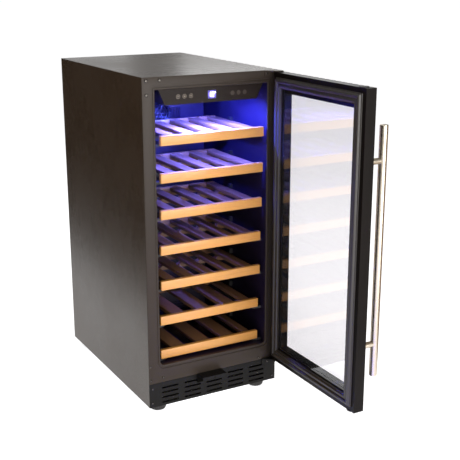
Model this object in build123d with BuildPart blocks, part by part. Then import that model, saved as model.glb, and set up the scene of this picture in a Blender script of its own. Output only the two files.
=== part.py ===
from build123d import *
import os
from math import cos, radians, sin

# Under-counter wine cooler, in millimetres. X runs to the right, the front faces -Y and Z is up.
# The origin is on the floor, under the middle of the cabinet's front face.
# The door is stored open, swung out from the front of the cabinet.

# ---- Driving dimensions ----
WIDTH = 380.0
DEPTH = 560.0
TOP = 874.0
FOOT_HEIGHT = 22.0
SHEET = 1.2
FRONT_SHEET = 2.0
KICK_TOP = 88.0

OPENING_WIDTH = 314.0
OPENING_BOTTOM = 135.0
OPENING_TOP = 843.0
OPENING_CORNER = 12.0
LINER_WALL = 2.0
CAVITY_DEPTH = 360.0
INSULATION_BACK = 402.0
INSULATION_BOTTOM = 92.0

COVER_FRONT = 300.0
COVER_HALF_WIDTH = 131.0
FAN_X = -10.0
FAN_Z = 736.0

SHELF_TOPS = (732.0, 638.5, 545.0, 451.5, 358.0, 260.5, 167.0)
SHELF_FRONTS = (-4.0, -1.0, 3.0, 8.0, 10.0, 18.0, 20.0)
SHELF_DEPTH = 236.0
FASCIA = (290.6, 12.0, 24.4)
SLAT_DROP = 1.0
SLAT_THICK = 10.0
FRAME_HALF_WIDTH = 127.0
FRAME_BOTTOM = 24.0
BOARD_THICK = 12.0
JOINT_GAP = 0.1

HINGE_X = 180.0
HINGE_Y = -19.5
DOOR_ANGLE = 90.0
DOOR_WIDTH = 380.0
DOOR_EDGE_BEYOND_HINGE = 10.0
DOOR_BOTTOM = 91.0
DOOR_TOP = 870.0
DOOR_THICK = 28.0
DOOR_INNER_V = 9.5
BAR_WIDTH = 40.0
GLASS_REBATE = 12.0
OUTER_GLASS = 4.0
INNER_GLASS = 3.2
GASKET_INSET = 12.0
GASKET_WIDTH = 26.0
GASKET_HEIGHT = 9.7
HINGE_PIN_R = 4.0
HINGE_RUNNING = 0.06

HANDLE_R = 10.0
HANDLE_LENGTH = 615.0
HANDLE_MIDDLE = 474.0
HANDLE_INSET = 25.0
HANDLE_REACH = 44.4
STANDOFF_SPREAD = 225.0
STANDOFF_R = 8.0

COMPRESSOR_X = -98.0
COMPRESSOR_Y = 482.0
CONDENSER_FAN_X = 20.0
CONDENSER_FAN_Z = 92.0

HALF = WIDTH / 2
INNER_HALF = HALF - SHEET
MOUTH_HALF = OPENING_WIDTH / 2
BACK_INNER = DEPTH - SHEET
DOOR_OUTER_V = DOOR_INNER_V - DOOR_THICK
DOOR_U0 = DOOR_EDGE_BEYOND_HINGE - DOOR_WIDTH
DOOR_U1 = DOOR_EDGE_BEYOND_HINGE
DOOR_MIDDLE = (DOOR_BOTTOM + DOOR_TOP) / 2

os.makedirs("parts", exist_ok=True)


def save(builder, name):
    """Label a finished piece and write its STEP file."""
    builder.part.label = name
    export_step(builder.part, f"parts/{name}.step")


def block(low, high, mode=Mode.ADD):
    """Add or cut a box between two corners, inside the current part."""
    size = [b - a for a, b in zip(low, high)]
    middle = [(a + b) / 2 for a, b in zip(low, high)]
    with Locations(Location(middle)):
        Box(*size, mode=mode)


def rod(start, direction, radius, length, mode=Mode.ADD):
    """Add or cut a round bar that starts at a point and runs along a direction."""
    with BuildSketch(Plane(origin=start, z_dir=direction)) as section:
        Circle(radius)
    extrude(section.sketch, amount=length, mode=mode)


# ---- Door frame of reference: u along the door, v towards the cabinet when shut, z up ----
swing = radians(DOOR_ANGLE)
u_dir = Vector(cos(swing), sin(swing), 0)
v_dir = Vector(-sin(swing), cos(swing), 0)


def door_face(v):
    """A plane along the door at one depth. Its X is u, its Y is up and its normal points outwards."""
    origin = Vector(HINGE_X, HINGE_Y, 0) + v_dir * v
    return Plane(origin=origin, x_dir=u_dir, z_dir=v_dir * -1)


def mitred_ring(inset, width, v_face, thickness):
    """Four mitred strips round the door, as separate solids, from v_face outwards."""
    u0, u1 = DOOR_U0 + inset, DOOR_U1 - inset
    z0, z1 = DOOR_BOTTOM + inset, DOOR_TOP - inset
    g = JOINT_GAP
    sides = (
        ((u0 + g, z0), (u1 - g, z0), (u1 - width - g, z0 + width), (u0 + width + g, z0 + width)),
        ((u1, z0 + g), (u1, z1 - g), (u1 - width, z1 - width - g), (u1 - width, z0 + width + g)),
        ((u1 - g, z1), (u0 + g, z1), (u0 + width + g, z1 - width), (u1 - width - g, z1 - width)),
        ((u0, z1 - g), (u0, z0 + g), (u0 + width, z0 + width + g), (u0 + width, z1 - width - g)),
    )
    for corners in sides:
        with BuildSketch(door_face(v_face)) as strip:
            with BuildLine():
                Polyline(*corners, close=True)
            make_face()
        extrude(strip.sketch, amount=thickness)


# ---- Cabinet shell ----
for side, name in ((-1, "side_panel_left"), (1, "side_panel_right")):
    with BuildPart() as side_panel:
        xs = sorted((side * HALF, side * INNER_HALF))
        block((xs[0], FRONT_SHEET, FOOT_HEIGHT), (xs[1], DEPTH, TOP - SHEET))
    save(side_panel, name)

with BuildPart() as top_panel:
    block((-HALF, FRONT_SHEET, TOP - SHEET), (HALF, DEPTH, TOP))
    fillet(top_panel.edges().filter_by(Axis.Y).group_by(Axis.Z)[-1], 1.0)
save(top_panel, "top_panel")

VENT = (90.0, 5.0)
with BuildPart() as back_panel:
    block((-INNER_HALF, BACK_INNER, FOOT_HEIGHT + 2), (INNER_HALF, DEPTH, TOP - SHEET))
    back_sketch = Plane(origin=(0, DEPTH, 0), x_dir=(-1, 0, 0), z_dir=(0, 1, 0))
    for vent_z in (120, 760):
        with BuildSketch(back_sketch):
            with Locations((0, vent_z)):
                with GridLocations(110, 14, 3, 7):
                    SlotOverall(*VENT)
        extrude(amount=-SHEET, mode=Mode.SUBTRACT)
    with BuildSketch(back_sketch):
        with Locations((-140, 56)):
            Rectangle(30, 24)
    extrude(amount=-SHEET, mode=Mode.SUBTRACT)
save(back_panel, "back_panel")

FOOT_PLACES = ((-150, 38), (150, 38), (-150, 525), (150, 525))
FOOT_STUD_R = 4.0
FOOT_R = 21.7
FOOT_BASE_R = 19.5
FOOT_TAPER = 4.0
with BuildPart() as base_pan:
    block((-INNER_HALF, FRONT_SHEET, FOOT_HEIGHT), (INNER_HALF, BACK_INNER, FOOT_HEIGHT + 2))
    with BuildSketch(Plane.XY.offset(FOOT_HEIGHT)):
        with Locations(*FOOT_PLACES):
            Circle(FOOT_STUD_R + HINGE_RUNNING)
    extrude(amount=2, mode=Mode.SUBTRACT)
save(base_pan, "base_pan")

front = Plane.XZ
with BuildPart() as face_frame:
    with BuildSketch(front):
        with Locations((0, (KICK_TOP + TOP) / 2)):
            Rectangle(WIDTH, TOP - KICK_TOP)
        with Locations((0, (OPENING_BOTTOM + OPENING_TOP) / 2)):
            Rectangle(OPENING_WIDTH, OPENING_TOP - OPENING_BOTTOM, mode=Mode.SUBTRACT)
    extrude(amount=-FRONT_SHEET)
    mouth_edges = face_frame.edges().filter_by(Axis.Y)
    inner_edges = mouth_edges.filter_by(lambda e: abs(e.center().X) < MOUTH_HALF + 1)
    fillet(inner_edges.group_by(Axis.Z)[0], OPENING_CORNER)
save(face_frame, "face_frame")

LOUVRE = (48.0, 5.0)
LOUVRE_COLUMNS = (-130.5, -65.0, 0.0, 65.0, 130.5)
LOUVRE_ROWS = (50.0, 36.5, 23.0, 9.5)
with BuildPart() as kick_plate:
    block((-HALF, 0, FOOT_HEIGHT), (HALF, FRONT_SHEET, KICK_TOP - 0.6))
    with BuildSketch(front):
        for column in LOUVRE_COLUMNS:
            for row in LOUVRE_ROWS:
                with Locations((column, FOOT_HEIGHT + row)):
                    SlotOverall(*LOUVRE)
    extrude(amount=-FRONT_SHEET, mode=Mode.SUBTRACT)
save(kick_plate, "kick_plate")

LINER_FRONT = FRONT_SHEET
LINER_TOP_CORNER = 2.5
with BuildPart() as inner_liner:
    wall = LINER_WALL
    block((-MOUTH_HALF - wall, LINER_FRONT, OPENING_BOTTOM - wall),
          (MOUTH_HALF + wall, CAVITY_DEPTH + wall, OPENING_TOP + wall))
    block((-INNER_HALF, LINER_FRONT, INSULATION_BOTTOM), (INNER_HALF, LINER_FRONT + wall, TOP - SHEET))
    block((-MOUTH_HALF, LINER_FRONT - 1, OPENING_BOTTOM),
          (MOUTH_HALF, CAVITY_DEPTH, OPENING_TOP), mode=Mode.SUBTRACT)
    cavity_edges = inner_liner.edges().filter_by(Axis.Y)
    cavity_edges = cavity_edges.filter_by(lambda e: abs(abs(e.center().X) - MOUTH_HALF) < 0.1)
    fillet(cavity_edges.group_by(Axis.Z)[-1], LINER_TOP_CORNER)
save(inner_liner, "inner_liner")

FOAM_FRONT = LINER_FRONT + LINER_WALL
with BuildPart() as foam_insulation:
    wall = LINER_WALL
    block((-INNER_HALF, FOAM_FRONT, INSULATION_BOTTOM), (INNER_HALF, INSULATION_BACK, TOP - SHEET))
    block((-MOUTH_HALF - wall, FOAM_FRONT - 1, OPENING_BOTTOM - wall),
          (MOUTH_HALF + wall, CAVITY_DEPTH + wall, OPENING_TOP + wall), mode=Mode.SUBTRACT)
save(foam_insulation, "foam_insulation")

with BuildPart() as rear_bulkhead:
    block((-INNER_HALF, INSULATION_BACK, FOOT_HEIGHT + 2),
          (INNER_HALF, INSULATION_BACK + SHEET, TOP - SHEET))
    block((-150, INSULATION_BACK - 1, 30), (150, INSULATION_BACK + 5, 84), mode=Mode.SUBTRACT)
save(rear_bulkhead, "rear_bulkhead")

# ---- Shelf supports: a ledge and a wall clip for each shelf on each side ----
LEDGE_INNER = 119.0
LEDGE_THICK = 6.0
LEDGE_CLEAR = 0.4
CLIP = (10.0, 12.0, 14.0)
CLIP_Y = 185.0
with BuildPart() as shelf_supports:
    for top in SHELF_TOPS:
        ledge_top = top - FASCIA[2] - LEDGE_CLEAR
        for side in (-1, 1):
            with BuildSketch(Plane.XY.offset(ledge_top - LEDGE_THICK)):
                with BuildLine():
                    Polyline((side * MOUTH_HALF, 22), (side * (LEDGE_INNER + 14), 26),
                             (side * LEDGE_INNER, 44), (side * LEDGE_INNER, 290),
                             (side * MOUTH_HALF, 290), close=True)
                make_face()
            extrude(amount=LEDGE_THICK)
            with Locations((side * (MOUTH_HALF - CLIP[0] / 2), CLIP_Y, top - 8)):
                Box(*CLIP)
save(shelf_supports, "shelf_supports")

# ---- Cold air unit behind the shelves ----
COVER_SHEET = 1.5
FAN_HOLE_R = 36.0
with BuildPart() as evaporator_cover:
    w = COVER_HALF_WIDTH
    z0, z1 = OPENING_BOTTOM + 2, OPENING_TOP - 2
    block((-w, COVER_FRONT, z0), (w, CAVITY_DEPTH, z1))
    block((-w + COVER_SHEET, COVER_FRONT + COVER_SHEET, z0 - 1),
          (w - COVER_SHEET, CAVITY_DEPTH + 1, z1 + 1), mode=Mode.SUBTRACT)
    fillet(evaporator_cover.edges().filter_by(Axis.Z).group_by(Axis.Y)[0], 1.2)
    cover_sketch = Plane(origin=(0, COVER_FRONT, 0), x_dir=(1, 0, 0), z_dir=(0, -1, 0))
    with BuildSketch(cover_sketch):
        with Locations((FAN_X, FAN_Z)):
            Circle(FAN_HOLE_R)
        with Locations((41, 731)):
            with GridLocations(5, 0, 7, 1):
                Rectangle(2.4, 40)
        with Locations((81, 760)):
            Rectangle(48, 6)
        with Locations((0, 165)):
            with GridLocations(0, 9, 1, 4):
                SlotOverall(150, 4)
    extrude(amount=-COVER_SHEET, mode=Mode.SUBTRACT)
save(evaporator_cover, "evaporator_cover")

GUARD_RINGS = (39.0, 31.0, 24.0, 17.0, 10.0)
GUARD_THICK = 2.0
with BuildPart() as fan_guard:
    guard_sketch = Plane(origin=(FAN_X, COVER_FRONT, FAN_Z), x_dir=(1, 0, 0), z_dir=(0, -1, 0))
    with BuildSketch(guard_sketch):
        for ring in GUARD_RINGS:
            Circle(ring + 1)
            Circle(ring - 1, mode=Mode.SUBTRACT)
        Circle(5)
        with PolarLocations(0, 6):
            with Locations((19, 0)):
                Rectangle(38, 2)
    extrude(amount=GUARD_THICK)
save(fan_guard, "fan_guard")


def serpentine(x0, x1, y, z_first, pitch, rows, radius):
    """Sweep a tube that runs to and fro across the cabinet and climbs by one pitch each time."""
    with BuildPart() as tube:
        with BuildLine() as path:
            for row in range(rows):
                z = z_first + row * pitch
                start, end = (x0, x1) if row % 2 == 0 else (x1, x0)
                Line((start, y, z), (end, y, z))
                if row < rows - 1:
                    bulge = pitch / 2 if row % 2 == 0 else -pitch / 2
                    ThreePointArc((end, y, z), (end + bulge, y, z + pitch / 2), (end, y, z + pitch))
        with BuildSketch(Plane(origin=(x0, y, z_first), z_dir=(1, 0, 0))):
            Circle(radius)
        sweep(path=path.wire())
    return tube


COIL_Y = 342.0
evaporator_tube = serpentine(-98, 98, COIL_Y, 400, 24, 12, 4)
with BuildPart() as evaporator_coil:
    add(evaporator_tube.part)
    for fin_x in range(-90, 91, 12):
        block((fin_x - 0.4, COIL_Y - 14, 390), (fin_x + 0.4, COIL_Y + 14, 674))
save(evaporator_coil, "evaporator_coil")

FAN_BACK = 326.0
fan_axis = Plane(origin=(FAN_X, COVER_FRONT + 4, FAN_Z), x_dir=(1, 0, 0), z_dir=(0, 1, 0))
with BuildPart() as evaporator_fan_motor:
    with BuildSketch(fan_axis):
        RectangleRounded(80, 80, 5)
        Circle(36, mode=Mode.SUBTRACT)
        with GridLocations(70, 70, 2, 2):
            Circle(2.2, mode=Mode.SUBTRACT)
    extrude(amount=24)
    with BuildSketch(fan_axis.offset(20)):
        Circle(15)
        with PolarLocations(0, 3):
            with Locations((26, 0)):
                Rectangle(26, 5)
    extrude(amount=4)
    with BuildSketch(fan_axis.offset(6)):
        Circle(2)
    extrude(amount=16)
save(evaporator_fan_motor, "evaporator_fan_motor")


BLADE_PITCH = radians(35)


def fan_rotor(axis, hub_r, tip_r, depth, blades, bore_r):
    """A hub with a bore for its shaft and tilted blades, along the plane's normal."""
    with BuildPart() as rotor:
        with BuildSketch(axis):
            Circle(hub_r)
        extrude(amount=depth)
        spin = Axis((0, 0, 0), axis.z_dir)
        for index in range(blades):
            radial = axis.x_dir.rotate(spin, index * 360 / blades)
            chord = axis.z_dir.cross(radial) * cos(BLADE_PITCH) + axis.z_dir * sin(BLADE_PITCH)
            root = axis.origin + axis.z_dir * depth / 2 + radial * (hub_r - 2)
            with BuildSketch(Plane(origin=root, x_dir=chord, z_dir=radial)):
                Rectangle(depth * 1.4, 1.6)
            extrude(amount=tip_r - hub_r + 2)
        with BuildSketch(axis):
            Circle(bore_r)
        extrude(amount=depth, mode=Mode.SUBTRACT)
    return rotor


evaporator_fan = fan_rotor(fan_axis.offset(4), 12, 33, 14, 7, 2 + HINGE_RUNNING)
save(evaporator_fan, "evaporator_fan")

# ---- Control panel under the top of the mouth ----
PANEL_TOP = OPENING_TOP - 1
PANEL_BOTTOM = 804.0
PANEL_FRONT = 5.0
PANEL_GLASS = 2.0
PANEL_TOP_HALF = 145.0
PANEL_BOTTOM_HALF = 128.0
PANEL_CORNERS = ((-PANEL_TOP_HALF, PANEL_TOP), (PANEL_TOP_HALF, PANEL_TOP),
                 (PANEL_BOTTOM_HALF, PANEL_BOTTOM), (-PANEL_BOTTOM_HALF, PANEL_BOTTOM))
BUTTON_XS = (-93.0, -75.5, -58.0, 58.0, 75.5, 93.0)
BUTTON_Z = 823.0
BUTTON_R = 5.5
DISPLAY = (23.0, 20.0)
LIGHT_HALF = 118.0
panel_plane = Plane(origin=(0, PANEL_FRONT, 0), x_dir=(1, 0, 0), z_dir=(0, -1, 0))

with BuildPart() as control_glass:
    with BuildSketch(panel_plane):
        with BuildLine():
            Polyline(*PANEL_CORNERS, close=True)
        make_face()
        with Locations((0, BUTTON_Z)):
            Rectangle(*DISPLAY, mode=Mode.SUBTRACT)
        with Locations(*[(x, BUTTON_Z) for x in BUTTON_XS]):
            Circle(BUTTON_R, mode=Mode.SUBTRACT)
    extrude(amount=-PANEL_GLASS)
    fillet(control_glass.edges().filter_by(Axis.Y).group_by(Axis.Z)[0], 4)
save(control_glass, "control_glass")

with BuildPart() as control_housing:
    with BuildSketch(panel_plane.offset(-PANEL_GLASS)):
        with BuildLine():
            Polyline(*PANEL_CORNERS, close=True)
        make_face()
    extrude(amount=-68)
    block((-LIGHT_HALF, PANEL_FRONT + 20, PANEL_BOTTOM - 1),
          (LIGHT_HALF, PANEL_FRONT + 44, PANEL_BOTTOM + 4), mode=Mode.SUBTRACT)
save(control_housing, "control_housing")

with BuildPart() as display_window:
    with BuildSketch(panel_plane):
        with Locations((0, BUTTON_Z)):
            Rectangle(DISPLAY[0] - 0.2, DISPLAY[1] - 0.2)
    extrude(amount=-PANEL_GLASS)
save(display_window, "display_window")

with BuildPart() as touch_pads:
    with BuildSketch(panel_plane.offset(0.3)):
        with Locations(*[(x, BUTTON_Z) for x in BUTTON_XS]):
            Circle(BUTTON_R - 0.1)
    extrude(amount=-PANEL_GLASS - 0.3)
save(touch_pads, "touch_pads")

with BuildPart() as led_strip:
    block((-LIGHT_HALF + 0.2, PANEL_FRONT + 20.2, PANEL_BOTTOM - 1.5),
          (LIGHT_HALF - 0.2, PANEL_FRONT + 43.8, PANEL_BOTTOM + 4))
    fillet(led_strip.edges().filter_by(Axis.X).group_by(Axis.Z)[0], 3)
save(led_strip, "led_strip")

# ---- Keeper bracket under the middle of the door ----
KEEPER_X = (-51.0, 20.0)
KEEPER_TOP = 89.5
KEEPER_REACH = 33.0
KEEPER_SHEET = 1.5
KEEPER_LIP = 8.0
KEEPER_LEG = 26.0
KEEPER_MIDDLE = (KEEPER_X[0] + KEEPER_X[1]) / 2
with BuildPart() as door_keeper:
    lip_back = -KEEPER_REACH + KEEPER_SHEET
    block((KEEPER_X[0], -KEEPER_REACH, KEEPER_TOP - KEEPER_SHEET), (KEEPER_X[1], 0, KEEPER_TOP))
    block((KEEPER_X[0], -KEEPER_REACH, KEEPER_TOP - KEEPER_LIP), (KEEPER_X[1], lip_back, KEEPER_TOP))
    block((KEEPER_X[0], -KEEPER_SHEET, KEEPER_TOP - KEEPER_LEG), (KEEPER_X[1], 0, KEEPER_TOP))
    with BuildSketch(Plane.YZ.offset(KEEPER_X[0])):
        with BuildLine():
            Polyline((-KEEPER_REACH, KEEPER_TOP), (-KEEPER_REACH, KEEPER_TOP - KEEPER_LIP),
                     (0, KEEPER_TOP - KEEPER_LEG), (0, KEEPER_TOP), close=True)
        make_face()
    extrude(amount=KEEPER_SHEET)
    with BuildSketch(front.offset(KEEPER_REACH)):
        with Locations((KEEPER_MIDDLE, KEEPER_TOP - 4.6)):
            Circle(1.5)
    extrude(amount=-KEEPER_SHEET, mode=Mode.SUBTRACT)
    with BuildSketch(front):
        with Locations((-38, 70), (7, 70)):
            Circle(1.8)
    extrude(amount=3, both=True, mode=Mode.SUBTRACT)
save(door_keeper, "door_keeper")

# ---- Pan-head screws: face frame and kick plate at the front, panel screws at the back ----
FRAME_HEAD = (4.4, 2.4)
LOWER_HEAD = (3.0, 2.0)
KICK_HEAD = (2.6, 1.6)
BACK_HEAD = (3.4, 1.9)
FRAME_SCREWS = ((-179, TOP - 8), (-144, TOP - 8), (-179, TOP - 42))
LOWER_SCREWS = ((-186, 137), (-185.5, 99), (-150, 101), (137, 94.6))
KICK_SCREWS = ((-181, 74), (-182, 34), (181, 33), (134, 51.7))
BACK_SCREWS = ((-178, 40), (178, 40), (-178, 450), (178, 450), (-178, 860), (178, 860))


def pan_head(plane, radius, height):
    """A domed screw head on a plane, with a cross recess."""
    with BuildPart() as head:
        with BuildSketch(plane):
            Circle(radius)
        extrude(amount=height)
        fillet(head.edges().filter_by(GeomType.CIRCLE).sort_by_distance(plane.origin)[-1], height * 0.7)
        with BuildSketch(plane.offset(height)):
            Rectangle(radius, 0.9)
            Rectangle(0.9, radius)
        extrude(amount=-1.2, mode=Mode.SUBTRACT)
    return head


with BuildPart() as cabinet_screws:
    for places, head in ((FRAME_SCREWS, FRAME_HEAD), (LOWER_SCREWS, LOWER_HEAD), (KICK_SCREWS, KICK_HEAD)):
        for x, z in places:
            screw = pan_head(Plane(origin=(x, 0, z), x_dir=(1, 0, 0), z_dir=(0, -1, 0)), *head)
            add(screw.part)
    for x, z in BACK_SCREWS:
        screw = pan_head(Plane(origin=(x, DEPTH, z), x_dir=(1, 0, 0), z_dir=(0, 1, 0)), *BACK_HEAD)
        add(screw.part)
save(cabinet_screws, "cabinet_screws")

# ---- Hinge brackets: a leg on the cabinet's face, a plate over or under the door, and its pin ----
BRACKET = 3.0
PIN_DEPTH = 15.0
BRACKET_X = 147.0
LEG_THICK = 2.4
TOP_LEG_END = 860.0
BOTTOM_LEG_END = 72.0


def hinge_bracket(plate_low, leg_low, leg_high, pin_start, pin_direction):
    """One bracket. The plate's outer corner is rounded about the pin."""
    with BuildPart() as bracket:
        with BuildSketch(Plane.XY.offset(plate_low)):
            with BuildLine():
                Polyline((HALF, 0), (BRACKET_X, 0), (HINGE_X - 12, HINGE_Y), (HINGE_X - 10, HINGE_Y - 4),
                         (HINGE_X - 6, HINGE_Y - 9), (HALF - 4, HINGE_Y - 9), (HALF, HINGE_Y - 4), close=True)
            make_face()
        extrude(amount=BRACKET)
        block((BRACKET_X, -LEG_THICK, leg_low), (HALF, 0, leg_high))
        rod(pin_start, pin_direction, HINGE_PIN_R, PIN_DEPTH)
    return bracket


top_plate = TOP - BRACKET
hinge_bracket_top = hinge_bracket(top_plate, TOP_LEG_END, TOP, (HINGE_X, HINGE_Y, top_plate), (0, 0, -1))
save(hinge_bracket_top, "hinge_bracket_top")
bottom_plate = DOOR_BOTTOM - 0.8 - BRACKET
hinge_bracket_bottom = hinge_bracket(bottom_plate, BOTTOM_LEG_END, bottom_plate + BRACKET,
                                     (HINGE_X, HINGE_Y, bottom_plate + BRACKET), (0, 0, 1))
save(hinge_bracket_bottom, "hinge_bracket_bottom")

# ---- Machine space behind the insulated box ----
MOUNT_SPREAD = (140.0, 100.0)
MOUNT_HEIGHT = 12.0
pan_floor = FOOT_HEIGHT + 2
with BuildPart() as compressor_mounts:
    with BuildSketch(Plane.XY.offset(pan_floor)):
        with Locations((COMPRESSOR_X, COMPRESSOR_Y)):
            with GridLocations(*MOUNT_SPREAD, 2, 2):
                Circle(9)
    extrude(amount=MOUNT_HEIGHT)
save(compressor_mounts, "compressor_mounts")

with BuildPart() as compressor:
    shell_floor = pan_floor + MOUNT_HEIGHT
    with BuildSketch(Plane.XY.offset(shell_floor + 3)):
        with Locations((COMPRESSOR_X, COMPRESSOR_Y)):
            Ellipse(68, 58)
    extrude(amount=142)
    fillet(compressor.edges().group_by(Axis.Z)[-1], 28)
    with BuildSketch(Plane.XY.offset(shell_floor + 70)):
        with Locations((COMPRESSOR_X, COMPRESSOR_Y)):
            Ellipse(71, 61)
    extrude(amount=5)
    with BuildSketch(Plane.XY.offset(shell_floor)):
        with Locations((COMPRESSOR_X, COMPRESSOR_Y)):
            RectangleRounded(MOUNT_SPREAD[0] + 22, MOUNT_SPREAD[1] + 22, 9)
    extrude(amount=3)
    rod((COMPRESSOR_X + 30, COMPRESSOR_Y, shell_floor + 120), (0, 0, 1), 4, 40)
    rod((COMPRESSOR_X - 30, COMPRESSOR_Y, shell_floor + 120), (0, 0, 1), 4, 40)
    block((COMPRESSOR_X + 60, COMPRESSOR_Y - 24, shell_floor + 30),
          (COMPRESSOR_X + 84, COMPRESSOR_Y + 24, shell_floor + 64))
save(compressor, "compressor")

CONDENSER_Y = 524.0
condenser_tube = serpentine(-130, 130, CONDENSER_Y, 300, 44, 12, 2.6)
with BuildPart() as condenser_coil:
    add(condenser_tube.part)
    for wire_x in range(-120, 121, 24):
        rod((wire_x, CONDENSER_Y - 3.2, 288), (0, 0, 1), 1.0, 508)
save(condenser_coil, "condenser_coil")

condenser_middle = (CONDENSER_FAN_X, COMPRESSOR_Y, CONDENSER_FAN_Z)
condenser_axis = Plane(origin=condenser_middle, x_dir=(0, 1, 0), z_dir=(1, 0, 0))
with BuildPart() as condenser_fan_frame:
    with BuildSketch(condenser_axis):
        RectangleRounded(120, 120, 6)
        Circle(56, mode=Mode.SUBTRACT)
        with GridLocations(105, 105, 2, 2):
            Circle(2.2, mode=Mode.SUBTRACT)
    extrude(amount=25)
    with BuildSketch(condenser_axis.offset(21)):
        Circle(22)
        with PolarLocations(0, 4):
            with Locations((40, 0)):
                Rectangle(38, 6)
    extrude(amount=4)
    with BuildSketch(condenser_axis.offset(4)):
        Circle(2.5)
    extrude(amount=18)
    block((CONDENSER_FAN_X, COMPRESSOR_Y - 50, pan_floor), (CONDENSER_FAN_X + 25, COMPRESSOR_Y + 50, 32.5))
save(condenser_fan_frame, "condenser_fan_frame")

condenser_fan = fan_rotor(condenser_axis.offset(3), 18, 52, 15, 5, 2.5 + HINGE_RUNNING)
save(condenser_fan, "condenser_fan")

BOARD_Y = INSULATION_BACK + SHEET
BOARD_PARTS = ((95, 165, 24, 20, 22), (130, 170, 18, 14, 14), (150, 145, 20, 26, 16), (100, 138, 30, 8, 9))
with BuildPart() as main_board:
    block((70, BOARD_Y + 8, 120), (170, BOARD_Y + 9.6, 190))
    for x, z in ((76, 126), (164, 126), (76, 184), (164, 184)):
        rod((x, BOARD_Y, z), (0, 1, 0), 3, 8.5)
    for x, z, w, h, tall in BOARD_PARTS:
        block((x - w / 2, BOARD_Y + 9.6, z - h / 2), (x + w / 2, BOARD_Y + 9.6 + tall, z + h / 2))
save(main_board, "main_board")

with BuildPart() as power_inlet:
    inlet = Plane(origin=(140, DEPTH, 56), x_dir=(-1, 0, 0), z_dir=(0, 1, 0))
    with BuildSketch(inlet):
        RectangleRounded(36, 30, 3)
    extrude(amount=2)
    with BuildSketch(inlet):
        RectangleRounded(29.6, 23.6, 2)
    extrude(amount=-22)
    with BuildSketch(inlet.offset(2)):
        RectangleRounded(24, 17, 4)
    extrude(amount=-18, mode=Mode.SUBTRACT)
    with BuildSketch(inlet.offset(-16)):
        with Locations((-7, -2), (0, 3), (7, -2)):
            Rectangle(2, 5)
    extrude(amount=12)
save(power_inlet, "power_inlet")

# ---- Levelling feet: a tapered pad on a stud that stands through the base pan ----
FOOT_GAP = 0.4
FOOT_STUD = 14.0
for number, (x, y) in enumerate(FOOT_PLACES, 1):
    with BuildPart() as foot:
        with BuildSketch(Plane(origin=(x, y, 0), z_dir=(0, 0, 1))):
            Circle(FOOT_BASE_R)
        with BuildSketch(Plane(origin=(x, y, FOOT_TAPER), z_dir=(0, 0, 1))):
            Circle(FOOT_R)
        loft()
        with BuildSketch(Plane(origin=(x, y, FOOT_TAPER), z_dir=(0, 0, 1))):
            RegularPolygon(FOOT_R, 24)
        extrude(amount=FOOT_HEIGHT - FOOT_GAP - FOOT_TAPER)
        with BuildSketch(Plane(origin=(x, y, FOOT_HEIGHT - FOOT_GAP), z_dir=(0, 0, 1))):
            Circle(FOOT_STUD_R)
        extrude(amount=FOOT_STUD)
    save(foot, f"levelling_foot_{number}")

# ---- Door ----
HANDLE_U = DOOR_U0 + HANDLE_INSET
HANDLE_V = DOOR_OUTER_V - HANDLE_REACH
STANDOFF_ZS = (HANDLE_MIDDLE - STANDOFF_SPREAD, HANDLE_MIDDLE + STANDOFF_SPREAD)
INNER_GLASS_V = 4.5
BUSH_R = 7.0
BUSH_DEPTH = 16.0
PLUG_U = DOOR_U0 + 22.0


def door_point(u, v, z):
    """A point given in the door's own directions."""
    place = Vector(HINGE_X, HINGE_Y, z) + u_dir * u + v_dir * v
    return (place.X, place.Y, place.Z)


with BuildPart() as door_frame:
    mitred_ring(0, BAR_WIDTH, DOOR_INNER_V, DOOR_THICK)
    with BuildSketch(door_face(DOOR_OUTER_V)):
        with Locations(((DOOR_U0 + DOOR_U1) / 2, DOOR_MIDDLE)):
            Rectangle(DOOR_WIDTH - 2 * GLASS_REBATE, DOOR_TOP - DOOR_BOTTOM - 2 * GLASS_REBATE)
    extrude(amount=-OUTER_GLASS, mode=Mode.SUBTRACT)
    with BuildSketch(door_face(DOOR_INNER_V)):
        for z in STANDOFF_ZS:
            with Locations((HANDLE_U, z)):
                Circle(3)
    extrude(amount=DOOR_THICK, mode=Mode.SUBTRACT)
    with BuildSketch(door_face(DOOR_INNER_V)):
        for z in STANDOFF_ZS:
            with Locations((HANDLE_U, z)):
                Circle(5.2)
    extrude(amount=3.5, mode=Mode.SUBTRACT)
    for z, direction in ((DOOR_TOP, -1), (DOOR_BOTTOM, 1)):
        rod(door_point(0, 0, z), (0, 0, direction), BUSH_R, BUSH_DEPTH, mode=Mode.SUBTRACT)
        rod(door_point(PLUG_U, 0, z), (0, 0, direction), BUSH_R, BUSH_DEPTH, mode=Mode.SUBTRACT)
save(door_frame, "door_frame")

with BuildPart() as outer_glass:
    with BuildSketch(door_face(DOOR_OUTER_V)):
        with Locations(((DOOR_U0 + DOOR_U1) / 2, DOOR_MIDDLE)):
            Rectangle(DOOR_WIDTH - 2 * GLASS_REBATE - 0.4, DOOR_TOP - DOOR_BOTTOM - 2 * GLASS_REBATE - 0.4)
        with Locations(*[(HANDLE_U, z) for z in STANDOFF_ZS]):
            Circle(4, mode=Mode.SUBTRACT)
    extrude(amount=-OUTER_GLASS)
save(outer_glass, "outer_glass")

with BuildPart() as inner_glass:
    with BuildSketch(door_face(INNER_GLASS_V + INNER_GLASS)):
        with Locations(((DOOR_U0 + DOOR_U1) / 2, DOOR_MIDDLE)):
            Rectangle(DOOR_WIDTH - 2 * BAR_WIDTH - 0.4, DOOR_TOP - DOOR_BOTTOM - 2 * BAR_WIDTH - 0.4)
    extrude(amount=INNER_GLASS)
save(inner_glass, "inner_glass")

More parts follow.
